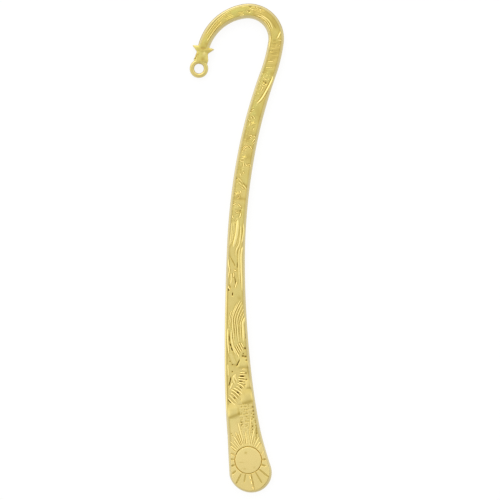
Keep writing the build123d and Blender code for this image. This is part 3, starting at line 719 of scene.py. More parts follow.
def half_width(distance):
    """Half of the plate's width in mm, apart from its round ends."""
    inside = np.clip(np.asarray(distance, dtype=float), 0.0, SPINE_END)
    flare = np.clip(1 - inside / FLARE_LENGTH, 0.0, 1.0) ** FLARE_POWER
    crown = np.clip((inside - FLARE_LENGTH) / (CROWN_START - FLARE_LENGTH), 0.0, 1.0)
    tip = np.clip((inside - CROWN_START) / (SPINE_END - CROWN_START), 0.0, 1.0) ** TIP_POWER
    swell = np.clip(1 - inside / SWELL_LENGTH, 0.0, 1.0) ** SWELL_POWER
    shoulder = np.clip(1 - (SPINE_END - inside) / SHOULDER_LENGTH, 0.0, 1.0) ** SHOULDER_POWER
    width = STEM_WIDTH + (2 * FOOT_RADIUS - SWELL_WIDTH - STEM_WIDTH) * flare + SWELL_WIDTH * swell
    width += (CROWN_WIDTH - STEM_WIDTH) * crown + (TIP_WIDTH - CROWN_WIDTH) * tip
    return (width + SHOULDER_FLARE * shoulder) / 2


def place(distance, across, height):
    """Points in the part's frame, in metres, from places along and across the spine and a height, in mm."""
    points, forward = spine(distance)
    right = np.stack([forward[..., 1], -forward[..., 0]], axis=-1)
    flat = points + right * np.asarray(across)[..., None] + FOOT[:2]
    return np.concatenate([flat, np.broadcast_to(height, flat.shape[:-1])[..., None]], axis=-1) * MM


def on_plate(points, distance):
    """Places along and across the spine, in mm, of points in metres that lie near one place on it."""
    centre, forward = spine(distance)
    gap = points[:, :2] / MM - FOOT[:2] - centre
    return distance + gap @ forward, gap @ np.array([forward[1], -forward[0]])


def along(points, share):
    """Places on the smooth line that runs through the given points."""
    points = np.array(points, dtype=float)
    padded = np.concatenate([2 * points[:1] - points[1:2], points, 2 * points[-1:] - points[-2:-1]])
    spot = np.clip(np.asarray(share, dtype=float), 0.0, 1.0) * (len(points) - 1)
    first = np.minimum(spot.astype(int), len(points) - 2)
    t = (spot - first)[..., None]
    before, start, end, after = (padded[first + step] for step in range(4))
    bend = (2 * before - 5 * start + 4 * end - after) * t + (3 * start - before - 3 * end + after) * t * t
    return start + 0.5 * t * (end - before + bend)


def ease(low, high, value):
    """0 below low, 1 above high and smooth between them."""
    share = np.clip((value - low) / (high - low), 0.0, 1.0)
    return share * share * (3 - 2 * share)


def within(low, high, soft, value):
    """1 between low and high, fading to 0 over a soft stretch inside each end."""
    return ease(low, low + soft, value) * (1 - ease(high - soft, high, value))


def line(gap, width):
    """A soft line: 1 in its middle and fading over its width on both sides."""
    return np.exp(-((gap / width) ** 2))


def oval(up, out, long, wide, turn=0.0):
    """A soft oval at places from its middle: 1 there and fading over its length and width."""
    lean = radians(turn)
    run = up * cos(lean) + out * sin(lean)
    cross = out * cos(lean) - up * sin(lean)
    return line(run, long) * line(cross, wide)


def squared(first, second, power):
    """The reach of a point, counted so that places of equal reach lie on a rounded square."""
    return np.maximum(np.abs(first) ** power + np.abs(second) ** power, TINY) ** (1 / power)


def fullness(share):
    """How full a stroke is along its length: pointed at both ends, even between them."""
    return np.clip(STROKE_FILL * np.sin(pi * np.clip(share, 0.0, 1.0)), 0.0, 1.0) ** STROKE_POINT


def clear():
    """Object mode with nothing selected."""
    if bpy.context.object and bpy.context.object.mode != "OBJECT":
        bpy.ops.object.mode_set(mode="OBJECT")
    bpy.ops.object.select_all(action="DESELECT")


def pick(*pieces):
    """Selects these pieces alone, with the first of them active."""
    clear()
    for piece in pieces:
        piece.select_set(True)
    bpy.context.view_layer.objects.active = pieces[0]


def points_of(piece, kind="co"):
    """The piece's points as rows of an array, or the directions that they face."""
    values = np.empty(len(piece.data.vertices) * 3)
    piece.data.vertices.foreach_get(kind, values)
    return values.reshape(-1, 3)


def move_points(piece, points):
    """Puts the piece's points at new places."""
    piece.data.vertices.foreach_set("co", np.ascontiguousarray(points, dtype=np.float32).ravel())
    piece.data.update()


def mark(piece, **tones):
    """Stores tones of the points: painted light with some wear, from -1 for painted shade in a crease to 1
    for a painted highlight on a crest, or rim, up to 1 for the painted edge shade.
    """
    for name, values in tones.items():
        layer = piece.data.attributes.new(name, "FLOAT", "POINT")
        layer.data.foreach_set("value", np.ascontiguousarray(np.clip(values, -1, 1), dtype=np.float32))


def mark_sides(piece, wear, least=0.0):
    """Stores the piece's painted light and gives its steep sides the painted edge shade."""
    level = np.abs(points_of(piece, "normal")[:, 2])
    mark(piece, wear=wear, rim=np.maximum(least, SIDE_TONE * (1 - ease(*SIDE_LEVELS, level))))


def mark_crests(piece, top, tone, sheen, low, high):
    """Stores a painted shade that lightens towards a painted highlight between two heights in mm over the
    plate's front.
    """
    mark(piece, wear=tone + sheen * ease(low, high, points_of(piece)[:, 2] / MM - top))


def edit(*steps):
    """Runs edit-mode operators on all of the active piece's elements."""
    bpy.ops.object.mode_set(mode="EDIT")
    bpy.ops.mesh.select_all(action="SELECT")
    for step in steps:
        step()
    bpy.ops.object.mode_set(mode="OBJECT")


def face_outwards():
    """Turns every face outwards."""
    bpy.ops.mesh.select_all(action="SELECT")
    bpy.ops.mesh.normals_make_consistent(inside=False)


def close_seams():
    """Merges doubled points and turns every face outwards."""
    bpy.ops.mesh.remove_doubles(threshold=SEAM)
    bpy.ops.mesh.dissolve_degenerate(threshold=SEAM / 10)
    bpy.ops.mesh.normals_make_consistent(inside=False)


def apply_modifier(piece, kind, **settings):
    """Adds a modifier with these settings and applies it."""
    pick(piece)
    modifier = piece.modifiers.new(kind.title(), kind)
    for name, value in settings.items():
        setattr(modifier, name, value)
    bpy.ops.object.modifier_apply(modifier=modifier.name)


def melt(piece, grain, rounds):
    """Runs the solids of a piece into one skin, with its grain in mm, and smooths it."""
    apply_modifier(piece, "REMESH", mode="VOXEL", voxel_size=grain * MM)
    apply_modifier(piece, "SMOOTH", factor=0.5, iterations=rounds)


def ball_blank(segments, rings):
    """A ball of radius 1 about the origin, to be shaped."""
    clear()
    bpy.ops.mesh.primitive_uv_sphere_add(segments=segments, ring_count=rings, radius=1.0)
    return bpy.context.object


def copy_of(blank):
    """A copy with its own mesh."""
    copy = blank.copy()
    copy.data = blank.data.copy()
    bpy.context.collection.objects.link(copy)
    return copy


def join(copies):
    """Joins copies into one piece."""
    pick(*copies)
    bpy.ops.object.join()
    return copies[0]


def finish_piece(piece, name, *nodes, angle):
    """Names, smooths, paints and seats a finished piece, sharp where faces meet at more than the angle."""
    piece.name = name
    piece.data.name = name
    pick(piece)
    bpy.ops.object.shade_smooth_by_angle(angle=radians(angle))
    piece.data.materials.append(gold_plating())
    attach(piece, "root")
    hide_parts(*nodes)


class Wire:
    """A shader socket that can be used in sums and mixes."""

    def __init__(self, tree, socket):
        self.tree = tree
        self.socket = socket

    def combine(self, operation, first, second):
        return add_node(self.tree, "ShaderNodeMath", {"operation": operation}, {0: first, 1: second})

    def __add__(self, other):
        return self.combine("ADD", self, other)

    def __sub__(self, other):
        return self.combine("SUBTRACT", self, other)

    def __mul__(self, other):
        return self.combine("MULTIPLY", self, other)

    def __rsub__(self, other):
        return self.combine("SUBTRACT", other, self)

    __radd__ = __add__
    __rmul__ = __mul__

    def clamped(self):
        """The value, kept between 0 and 1."""
        return add_node(self.tree, "ShaderNodeClamp", {}, {"Value": self})

    def ramp(self, low, high):
        """0 at low, 1 at high and straight between them."""
        sockets = {"Value": self, "From Min": low, "From Max": high}
        return add_node(self.tree, "ShaderNodeMapRange", {}, sockets)

    def mix(self, first, second, blend="MIX"):
        """Two colours, mixed with this share of the second."""
        settings = {"data_type": "RGBA", "blend_type": blend}
        return add_node(self.tree, "ShaderNodeMix", settings, {0: self, 6: first, 7: second}, 2)


def add_node(tree, kind, settings, sockets, output=0):
    """Adds a node with its settings, then the values or wires of its sockets."""
    node = tree.nodes.new(kind)
    for name, value in settings.items():
        setattr(node, name, value)
    for key, value in sockets.items():
        if isinstance(value, Wire):
            tree.links.new(value.socket, node.inputs[key])
        else:
            node.inputs[key].default_value = value
    return Wire(tree, node.outputs[output])


def gold_plating():
    """The gold plating: painted highlight on the crests, standing partly for polish, painted shade in the
    creases, and paler at the foot.
    """
    name = "gold plating"
    if name in bpy.data.materials:
        return bpy.data.materials[name]
    finish = bpy.context.scene.bookmark_finish
    material = bpy.data.materials.new(name)
    material.use_nodes = True
    tree = material.node_tree
    shader = tree.nodes["Principled BSDF"]
    spot = add_node(tree, "ShaderNodeTexCoord", {}, {}, "Object")
    upward = add_node(tree, "ShaderNodeSeparateXYZ", {}, {"Vector": spot}, "Y")
    # The painted light and wear, and the rim tone that brings in the painted edge shade
    wear, rim = (add_node(tree, "ShaderNodeAttribute", {"attribute_name": tone}, {}, "Fac")
                 for tone in ("wear", "rim"))
    mottle, grain, cast = (add_node(tree, "ShaderNodeTexNoise", {},
                                    {"Vector": spot, "Scale": scale, "Detail": detail})
                           for scale, detail in (MOTTLE_NOISE, GRAIN_NOISE, CAST_NOISE))
    low = upward.ramp(*LOWER_CLIMB)
    high = upward.ramp(*UPPER_CLIMB)
    climb = low * LOWER_SHARE + high * (1 - LOWER_SHARE)
    tint = cast.ramp(*CAST_RANGE).mix(finish.warm, finish.tarnish)
    plain = climb.mix(finish.pale_gold, finish.gold)
    plain = (high * (1 - FOOT_TINT) + FOOT_TINT).mix(plain, tint, "MULTIPLY")
    # Painted light and wear with some mottle: below zero it mixes in the two painted shade colours, above
    # zero the crests' painted highlight, and over the rims the painted edge shade
    tone = wear + (mottle - 0.5) * (climb * MOTTLE_CLIMB + MOTTLE_FOOT)
    dark = (tone * -1.0).clamped()
    light = tone.clamped()
    shaded = (dark * 2.0).clamped().mix(plain, finish.soft_shade)
    shaded = (dark * dark).mix(shaded, finish.deep_shade)
    colour = (rim * EDGE_COVER).mix(light.mix(shaded, finish.crest_highlight), finish.edge)
    rough = mottle * ROUGH_MOTTLE + dark * ROUGH_CREASE - light * ROUGH_CREST
    rough = rough + (finish.polish - ROUGH_MOTTLE / 2)
    strength, depth = GRAIN_BUMP
    relief = add_node(tree, "ShaderNodeBump", {}, {"Height": grain, "Strength": strength, "Distance": depth})
    for socket, wire in (("Base Color", colour), ("Roughness", rough), ("Normal", relief)):
        tree.links.new(wire.socket, shader.inputs[socket])
    shader.inputs["Metallic"].default_value = 1.0
    return material


def sun_rays_paths():
    """Rays above the sun, kept on the plate, and the raised edges under it."""
    rays = []
    for index, (turn, near, far) in enumerate(RAYS):
        angle = radians(turn)
        while far > near and far * abs(sin(angle)) > half_width(SUN_PLACE + far * cos(angle)) - RAY_MARGIN:
            far -= RAY_TRIM
        ends = [(SUN_PLACE + r * cos(angle), r * sin(angle)) for r in (near, (near + far) / 2, far)]
        rise = LOW_RAY if far < LONG_RAY else HIGH_RAY
        rays.append((ends, RAY_WIDTHS[index % len(RAY_WIDTHS)], rise))
    return rays + GROOVE_EDGES


MOTIFS = {
    "sun_rays": sun_rays_paths(),
    "cloud_curls": FAN,
    "wind_plume": PLUME,
    "wind_sweeps": SWEEPS,
    "ribbons": RIBBONS,
    "chevrons": CHEVRONS,
    "crescent_moon": CRESCENT,
    "neck_ripples": RIPPLES,
    "crown_rim": CROWN_RIM,
    "crown_curls": CROWN_CURLS,
    "comet_trail": TRAIL,
}


def ring_tone(up, out):
    """How much painted shade the groove round the sun gets, in these directions from its middle."""
    return np.interp(np.degrees(np.arctan2(out, up)) % 360, RING_TURNS, RING_TONES)


def pale_edge(distance):
    """Where the left edge of the lower stem gets its painted highlight, from 0 to 1."""
    return within(*PALE_STRETCH, distance)


def near_star(distance):
    """0 along the plate and 1 under the star."""
    return ease(*STAR_STRETCH, distance)


def stipple_places():
    """Places of the fine dots that roughen the ground, in rows that a fixed seed unsettles."""
    chance = np.random.default_rng(STIPPLE_SEED)
    dots = []
    for low, high, left, right, rise in STIPPLE_FIELDS:
        for s in np.arange(low, high, STIPPLE_STEP):
            reach = half_width(s) - STIPPLE_MARGIN
            for v in np.arange(left * reach, right * reach, STIPPLE_STEP):
                jitter = chance.uniform(-STIPPLE_JITTER, STIPPLE_JITTER, 2)
                spot = (s + jitter[0], v + jitter[1])
                if sqrt((spot[0] - SUN_PLACE) ** 2 + spot[1] ** 2) > SUN_RADIUS + STIPPLE_CLEAR:
                    size = chance.uniform(*STIPPLE_SIZES)
                    dots.append((*spot, size, rise * chance.uniform(*STIPPLE_SHARES)))
    return dots


class Ground:
    """The plate's own relief over its rows and columns: heights in mm, and the painted light and wear at each
    point.
    """

    def __init__(self, distance, across, half):
        self.distance = distance
        self.across = across
        self.half = half
        round_over = 1 - (across / np.maximum(half, 0.1)) ** 2
        self.height = CROWN_BULGE * ease(*CROWN_STRETCH, distance) * round_over
        self.height += WAVES * np.sin(1.3 * distance + 0.8) * np.cos(1.9 * across + 0.35 * distance)
        self.wear = np.zeros_like(across)
        self.seat_sun()
        # Fine dots, with their painted light and shade
        for s, v, size, rise in stipple_places():
            self.dab(s, v, size, size, 0.0, rise, STIPPLE_SHADING * rise, cut_off=3.0)
        # Pits and dimples, with painted shade in them
        for spots, painted_shade in ((PITS, PIT_SHADE), (DIMPLES, DIMPLE_SHADE)):
            for s, v, size in spots:
                self.dab(s, v, size, size, 0.0, -PIT_DEPTH * size, -painted_shade, cut_off=4.0)
        self.swell()
        # Broad patches of painted shade and painted highlight, with a slight dip or swell
        for s, v, long, wide, turn, tone in SHADES:
            self.dab(s, v, long, wide, turn, SHADE_RISE * tone, tone, cut_off=2.5)
        self.cut()
        self.crease()
        self.fade()

    def band(self, low, high):
        """The rows between two places along the spine."""
        rows = self.distance[:, 0]
        return slice(np.searchsorted(rows, low), np.searchsorted(rows, high))

    def dab(self, s, v, long, wide, turn, rise, tone, cut_off):
        """A soft oval, cut off along the spine at so many times its size."""
        reach = cut_off * max(long, wide)
        band = self.band(s - reach, s + reach)
        share = oval(self.distance[band] - s, self.across[band] - v, long, wide, turn)
        self.height[band] += rise * share
        self.wear[band] += tone * share

    def gap_to(self, points):
        """The rows near a path, their gaps to it, and how full a stroke along it is there."""
        share = np.linspace(0.0, 1.0, PATH_STEPS)
        path = along(points, share)
        band = self.band(path[:, 0].min() - PATH_REACH, path[:, 0].max() + PATH_REACH)
        up = self.distance[band][..., None] - path[:, 0]
        out = self.across[band][..., None] - path[:, 1]
        gaps = up**2 + out**2
        return band, np.sqrt(gaps.min(axis=-1)), fullness(share[gaps.argmin(axis=-1)])

    def seat_sun(self):
        """Sinks the disc's seat, and paints shade into it, the halo over it and the ground under it."""
        up = self.distance - SUN_PLACE
        reach = np.sqrt(up**2 + self.across**2)
        seat = 1 - ease(SUN_RADIUS, SUN_RADIUS + SEAT_WALL, reach)
        tone = ring_tone(up, self.across)
        halo = line(reach - SUN_RADIUS - HALO_GAP, HALO_WIDTH)
        halo *= ease(*HALO_SPREAD, up / np.maximum(reach, 0.1))
        under = (1 - seat) * (1 - ease(*UNDER_TOP, self.distance)) * (1 - ease(*UNDER_REACH, reach))
        self.height -= SEAT_DEPTH * seat
        self.wear -= tone * (seat + HALO_TONE * halo) + UNDER_TONE * under

    def swell(self):
        """Raises the soft swells, each with a line of painted shade at its lower edge."""
        for s, left, right, rise in SWELLS:
            up = self.distance - s
            inside = within(left - SWELL_SIDE, right + SWELL_SIDE, 2 * SWELL_SIDE, self.across)
            self.height += rise * inside * ease(0.0, SWELL_CLIMB, up) * (1 - ease(*SWELL_FALL, up))
            self.wear -= SWELL_SHADE * rise * inside * line(up - SWELL_LINE, SWELL_LINE)

    def cut(self):
        """Cuts the fine lines, with painted shade in them that is darker the deeper they are."""
        for points, width, depth in GROOVES:
            band, gap, taper = self.gap_to(points)
            groove = taper * line(gap, width)
            self.height[band] -= depth * groove
            self.wear[band] -= (GROOVE_SHADE + GROOVE_DEEPENING * depth) * groove

    def crease(self):
        """Paints shade into the crease round the foot of every stroke."""
        for name, strokes in MOTIFS.items():
            painted_shade = CREASE_SHADES.get(name, CREASE_SHADE)
            for points, width, _ in strokes:
                band, gap, taper = self.gap_to(points)
                foot = taper * line(gap - CREASE_PLACE * width, CREASE_WIDTH)
                self.height[band] -= CREASE_DEPTH * foot
                self.wear[band] = np.minimum(self.wear[band], -painted_shade * foot)

    def fade(self):
        """Evens the ground out towards the border, with a line of painted shade along it."""
        inset = self.half - np.abs(self.across)
        fade = ease(0.0, BORDER_FADE, inset)
        left = pale_edge(self.distance) * (self.across < 0)
        tone = BORDER_FOOT_TONE - BORDER_DROP * ease(*BORDER_FOOT, self.distance)
        tone = tone * (1 - near_star(self.distance)) + PALE_BORDER * left
        border = line(inset - BORDER_INSET + PALE_INSET * left, BORDER_WIDTH)
        self.height *= fade
        self.wear = np.clip(self.wear, -1.0, 1.0) * fade - tone * border


def bend_stroke(copy, points, width, rise, top, sink):
    """Lays a copy of the blank along a path on the plate, with a crest along its middle."""
    ball = points_of(copy)
    share = np.arccos(np.clip(ball[:, 2], -1.0, 1.0)) / pi
    ring = np.maximum(np.sqrt(ball[:, 0] ** 2 + ball[:, 1] ** 2), TINY)
    side, up = ball[:, 0] / ring, ball[:, 1] / ring
    taper = fullness(share)
    path = along(points, share)
    step = along(points, np.clip(share + 0.01, 0, 1)) - along(points, np.clip(share - 0.01, 0, 1))
    step /= np.maximum(np.linalg.norm(step, axis=1), TINY)[:, None]
    offset = side * taper * width / 2
    crest = np.where(up > 0, (1 - np.abs(side) ** CREST_POWER) * rise * taper, up * sink)
    spots = place(path[:, 0] - step[:, 1] * offset, path[:, 1] + step[:, 0] * offset, top + crest)
    move_points(copy, spots)
    # Painted highlight along the crest and painted shade down the flanks, standing partly for polish and
    # fullest on narrow, high strokes; painted shade under the foot
    polish = min(1.0, POLISHED_WIDTH / width) * min(1.0, rise / POLISHED_RISE)
    crest_wear = polish * (CREST_HIGHLIGHT - FLANK_SHADE * np.abs(side) ** FLANK_POWER)
    mark(copy, wear=np.where(up > 0, crest_wear, STROKE_FOOT_SHADE))


def lay_strokes(context, *names):
    """Pieces made of copies of one round blank, each bent along its stroke."""
    sizes = context.scene.bookmark_sizes
    blank = ball_blank(*STROKE_BLANK)
    for name in names:
        copies = []
        for points, width, rise in MOTIFS[name]:
            copies.append(copy_of(blank))
            bend_stroke(copies[-1], points, width, rise, sizes.thickness / MM - SEATING, sizes.sink / MM)
        piece = join(copies)
        edit(close_seams)
        finish_piece(piece, name, name, angle=60)
    bpy.data.objects.remove(blank)


def raised(outline, low, high, *shaping):
    """A raised plate, from its outline in metres and heights in mm, with further steps to shape its lid."""
    clear()
    bpy.ops.mesh.primitive_circle_add(vertices=len(outline), radius=1.0, fill_type="NGON")
    piece = bpy.context.object
    move_points(piece, np.column_stack([outline[:, :2], np.full(len(outline), low * MM)]))
    lift = {"value": (0.0, 0.0, (high - low) * MM)}
    edit(lambda: bpy.ops.mesh.extrude_region_move(TRANSFORM_OT_translate=lift), *shaping, face_outwards)
    return piece


def plaque(outline, low, high, bevel, segments):
    """A raised plate with a rounded rim."""
    piece = raised(outline, low, high)
    weight = piece.data.attributes.new("bevel_weight_edge", "FLOAT", "EDGE")
    for edge in piece.data.edges:
        if all(piece.data.vertices[v].co.z > (high - LEVEL) * MM for v in edge.vertices):
            weight.data[edge.index].value = 1.0
    apply_modifier(piece, "BEVEL", width=bevel * MM, segments=segments, limit_method="WEIGHT")
    return piece


def facet_star(distance, across, radius, waist, low, rim, peak, turned=False):
    """A five-pointed star with a faceted roof, its heights in mm."""
    centre, forward = spine(distance)
    right = np.array([forward[1], -forward[0]])
    corner = np.arange(2 * STAR_POINTS)[:, None]
    reach = np.where(corner % 2 == 0, radius, radius * waist)
    angle = pi * corner / STAR_POINTS + (pi if turned else 0.0)
    flat = centre + reach * np.cos(angle) * forward + (across + reach * np.sin(angle)) * right + FOOT[:2]
    piece = raised(flat * MM, low, rim, bpy.ops.mesh.poke)
    points = points_of(piece)
    middle = (centre + across * right + FOOT[:2]) * MM
    near = np.linalg.norm(points[:, :2] - middle, axis=1) < 0.05 * radius * MM
    points[near & (points[:, 2] > (rim - LEVEL) * MM), 2] = (rim + peak) * MM
    move_points(piece, points)
    return piece


class BOOKMARK_OT_crook(bpy.types.Operator):
    """Models the S-shaped plate with its flared foot, hook and sculpted ground"""

    bl_idname = "bookmark.crook"
    bl_label = "Crook"

    def rows(self, edge):
        """Where the sheet's rows lie along the spine, and half of the front's width there."""
        foot = FOOT_RADIUS - edge
        foot_turn = np.linspace(0.0, pi / 2, FOOT_ROWS + 1)[:-1]
        tip_turn = np.linspace(0.0, pi / 2, TIP_ROWS + 1)[1:]
        stations = np.concatenate([-foot * np.cos(foot_turn),
                                   np.linspace(0.0, SPINE_END, ROWS + 1 - FOOT_ROWS - TIP_ROWS),
                                   SPINE_END + (TIP_REACH - edge) * np.sqrt(np.sin(tip_turn))])
        half = half_width(stations) - edge
        half[:FOOT_ROWS] = foot * np.sin(foot_turn)
        half[-TIP_ROWS:] = (half_width(SPINE_END) - edge) * np.sqrt(np.cos(tip_turn))
        half[[0, -1]] = 0.0
        return stations, half

    def tones(self, stations, inset, ground_shading):
        """The sheet's painted light, and how much of the edge's colour, the painted edge shade, it has."""
        front = slice(SIDE_COLUMNS, SIDE_COLUMNS + FRONT_COLUMNS + 1)
        left_half = slice(SIDE_COLUMNS, SIDE_COLUMNS + FRONT_COLUMNS // 2)
        left_edge = slice(SIDE_COLUMNS - EDGE_STEPS, SIDE_COLUMNS)
        right_edge = slice(front.stop, front.stop + EDGE_STEPS)
        starred = near_star(stations)[:, None]
        pale = pale_edge(stations)[:, None]
        dark = ease(*DARK_STRETCH, stations)[:, None] * (1 - starred) * DARK_STEPS
        wear = np.zeros((ROWS + 1, SHEET_COLUMNS + 1))
        wear[:, front] = ground_shading
        # Painted highlight down the left edge of the lower stem, painted shade down the right edge from the
        # crown on
        wear[:, left_edge] = PALE_HIGHLIGHT * pale * PALE_STEPS
        wear[:, right_edge] = -DARK_SHADE * dark
        # The painted edge shade: along the front's border and on the walls, fainter near the star and beside
        # the left edge's painted highlight
        rim = np.ones_like(wear)
        rim[:, front] = EDGE_TONE * line(inset, EDGE_REACH)
        rim *= 1 - STAR_FADE * starred
        rim[:, left_half] *= 1 - PALE_FADE * pale
        rim[:, left_edge] *= 1 - PALE_FADE * pale * PALE_STEPS
        rim[:, right_edge] *= 1 - DARK_FADE * dark
        rim[:, :left_edge.start] = WALL_TONE
        rim[:, right_edge.stop:] = WALL_TONE
        return wear, rim

    def sides(self, sheet, top, edge, back):
        """Carries the sheet round its front edge, down its walls and round its back edge."""
        turns = np.linspace(0.0, pi / 2, EDGE_STEPS + 1)[1:]
        steps = [(edge * sin(turn), top - edge + edge * cos(turn)) for turn in turns]
        steps += [(edge, back)]
        steps += [(edge - back + back * cos(turn), back - back * sin(turn)) for turn in turns[1::2]]
        steps += [(edge - 2 * back, 0.0)]
        for side, seam in ((-1, SIDE_COLUMNS), (1, SIDE_COLUMNS + FRONT_COLUMNS)):
            border = sheet[:, seam, :2]
            run = np.gradient(border, axis=0)
            run /= np.linalg.norm(run, axis=1)[:, None]
            outward = side * np.column_stack([run[:, 1], -run[:, 0]])
            outward[0] = -spine(0.0)[1]
            outward[-1] = spine(SPINE_END)[1]
            for index, (out, height) in enumerate(steps, start=1):
                sheet[:, seam + side * index, :2] = border + outward * out * MM
                sheet[:, seam + side * index, 2] = height * MM

    def execute(self, context):
        sizes = context.scene.bookmark_sizes
        top, edge, back = sizes.thickness / MM, sizes.front_edge / MM, sizes.back_edge / MM
        clear()
        bpy.ops.mesh.primitive_grid_add(x_subdivisions=SHEET_COLUMNS, y_subdivisions=ROWS, size=2.0)
        piece = bpy.context.object
        grid = points_of(piece)
        column = np.rint((grid[:, 0] + 1) / 2 * SHEET_COLUMNS).astype(int)
        row = np.rint((grid[:, 1] + 1) / 2 * ROWS).astype(int)
        stations, half = self.rows(edge)
        lean = FOOT_SKEW * np.clip(stations / stations[0], 0.0, 1.0)
        across = half[:, None] * np.linspace(-1.0, 1.0, FRONT_COLUMNS + 1)
        distance = np.broadcast_to(stations[:, None], across.shape)
        ground = Ground(distance, across, np.broadcast_to(half[:, None], across.shape))
        sheet = np.zeros((ROWS + 1, SHEET_COLUMNS + 1, 3))
        sheet[:, SIDE_COLUMNS:-SIDE_COLUMNS] = place(distance, across + lean[:, None], top + ground.height)
        sheet[:, [0, -1]] = place(stations, lean, 0.0)[:, None]
        self.sides(sheet, top, edge, back)
        wear, rim = self.tones(stations, half[:, None] - np.abs(across), ground.wear)
        move_points(piece, sheet[row, column])
        mark(piece, wear=wear[row, column], rim=rim[row, column])
        edit(close_seams)
        finish_piece(piece, "crook", "crook_body", angle=50)
        return {"FINISHED"}


class BOOKMARK_OT_ring(bpy.types.Operator):
    """Models the hanging ring and the neck that joins it to the hook"""

    bl_idname = "bookmark.ring"
    bl_label = "Hanging ring"

    def band(self):
        """The ring's band, rounded square in section."""
        clear()
        around, across = RING_CORNERS
        bpy.ops.mesh.primitive_torus_add(major_segments=around, minor_segments=across, location=(0, 0, 0),
                                         major_radius=RING_REACH * MM, minor_radius=RING_BAND * MM)
        band = bpy.context.object
        points = points_of(band)
        reach = np.linalg.norm(points[:, :2], axis=1)
        tube = (reach - RING_REACH * MM) / (RING_BAND * MM)
        lift = points[:, 2] / (RING_BAND * MM)
        square = squared(tube, lift, RING_SQUARENESS)
        wide = (RING_REACH + RING_BAND * tube / square) * MM
        points[:, :2] *= (wide / reach)[:, None]
        points[:, 2] = RING_RISE * lift / square * MM
        move_points(band, points + RING * MM)
        return band

    def neck(self):
        """The neck, a flat ball between the hook's tip and the ring."""
        tip = np.append(spine(SPINE_END)[0] + FOOT[:2], RING[2])
        way = (RING - tip) / np.linalg.norm(RING - tip)
        side = np.array([way[1], -way[0], 0.0])
        neck = ball_blank(*NECK_BLANK)
        x, y, z = points_of(neck).T[..., None]
        wide = NECK_WIDTH + NECK_FLARE * z
        spots = tip + way * (NECK_START + NECK_LENGTH * z) + side * (NECK_SHIFT + wide * x)
        spots[:, 2:] = RING[2] + RING_RISE * y
        move_points(neck, spots * MM)
        return neck

    def execute(self, context):
        piece = join([self.band(), self.neck()])
        edit(close_seams)
        melt(piece, *RING_SKIN)
        points = points_of(piece) - RING * MM
        reach = np.linalg.norm(points[:, :2], axis=1)
        bored = np.where(reach < RING_HOLE * MM, RING_HOLE * MM / np.maximum(reach, TINY), 1.0)
        points[:, :2] *= bored[:, None]
        move_points(piece, points + RING * MM)
        # No painted light on the ring, only the painted edge shade on its steep sides and a share of it all
        # over
        mark_sides(piece, np.zeros(len(points)), least=RING_TONE)
        finish_piece(piece, "hanging_ring", "hanging_ring", angle=60)
        return {"FINISHED"}


class BOOKMARK_OT_star(bpy.types.Operator):
    """Models the faceted star near the tip of the hook"""

    bl_idname = "bookmark.star"
    bl_label = "Star"

    def execute(self, context):
        top = context.scene.bookmark_sizes.thickness / MM
        piece = facet_star(STAR_PLACE, 0.0, STAR_RADIUS + STAR_SPARE, STAR_WAIST, low=STAR_BASE,
                           rim=top - STAR_SINK, peak=STAR_PEAK, turned=True)
        melt(piece, *STAR_SKIN)
        up, out = on_plate(points_of(piece), STAR_PLACE)
        # Painted light: lighter where the star's faces look up, darker down its slopes, with the patches of
        # painted shade and highlight
        wear = STAR_TONE + STAR_SHEEN * (points_of(piece, "normal")[:, 2] - STAR_LEVEL)
        for s, v, long, wide, tone in STAR_SHADING:
            wear += tone * oval(up - STAR_PLACE - s, out - v, long, wide)
        mark_sides(piece, wear)
        finish_piece(piece, "star", "star", angle=45)
        return {"FINISHED"}


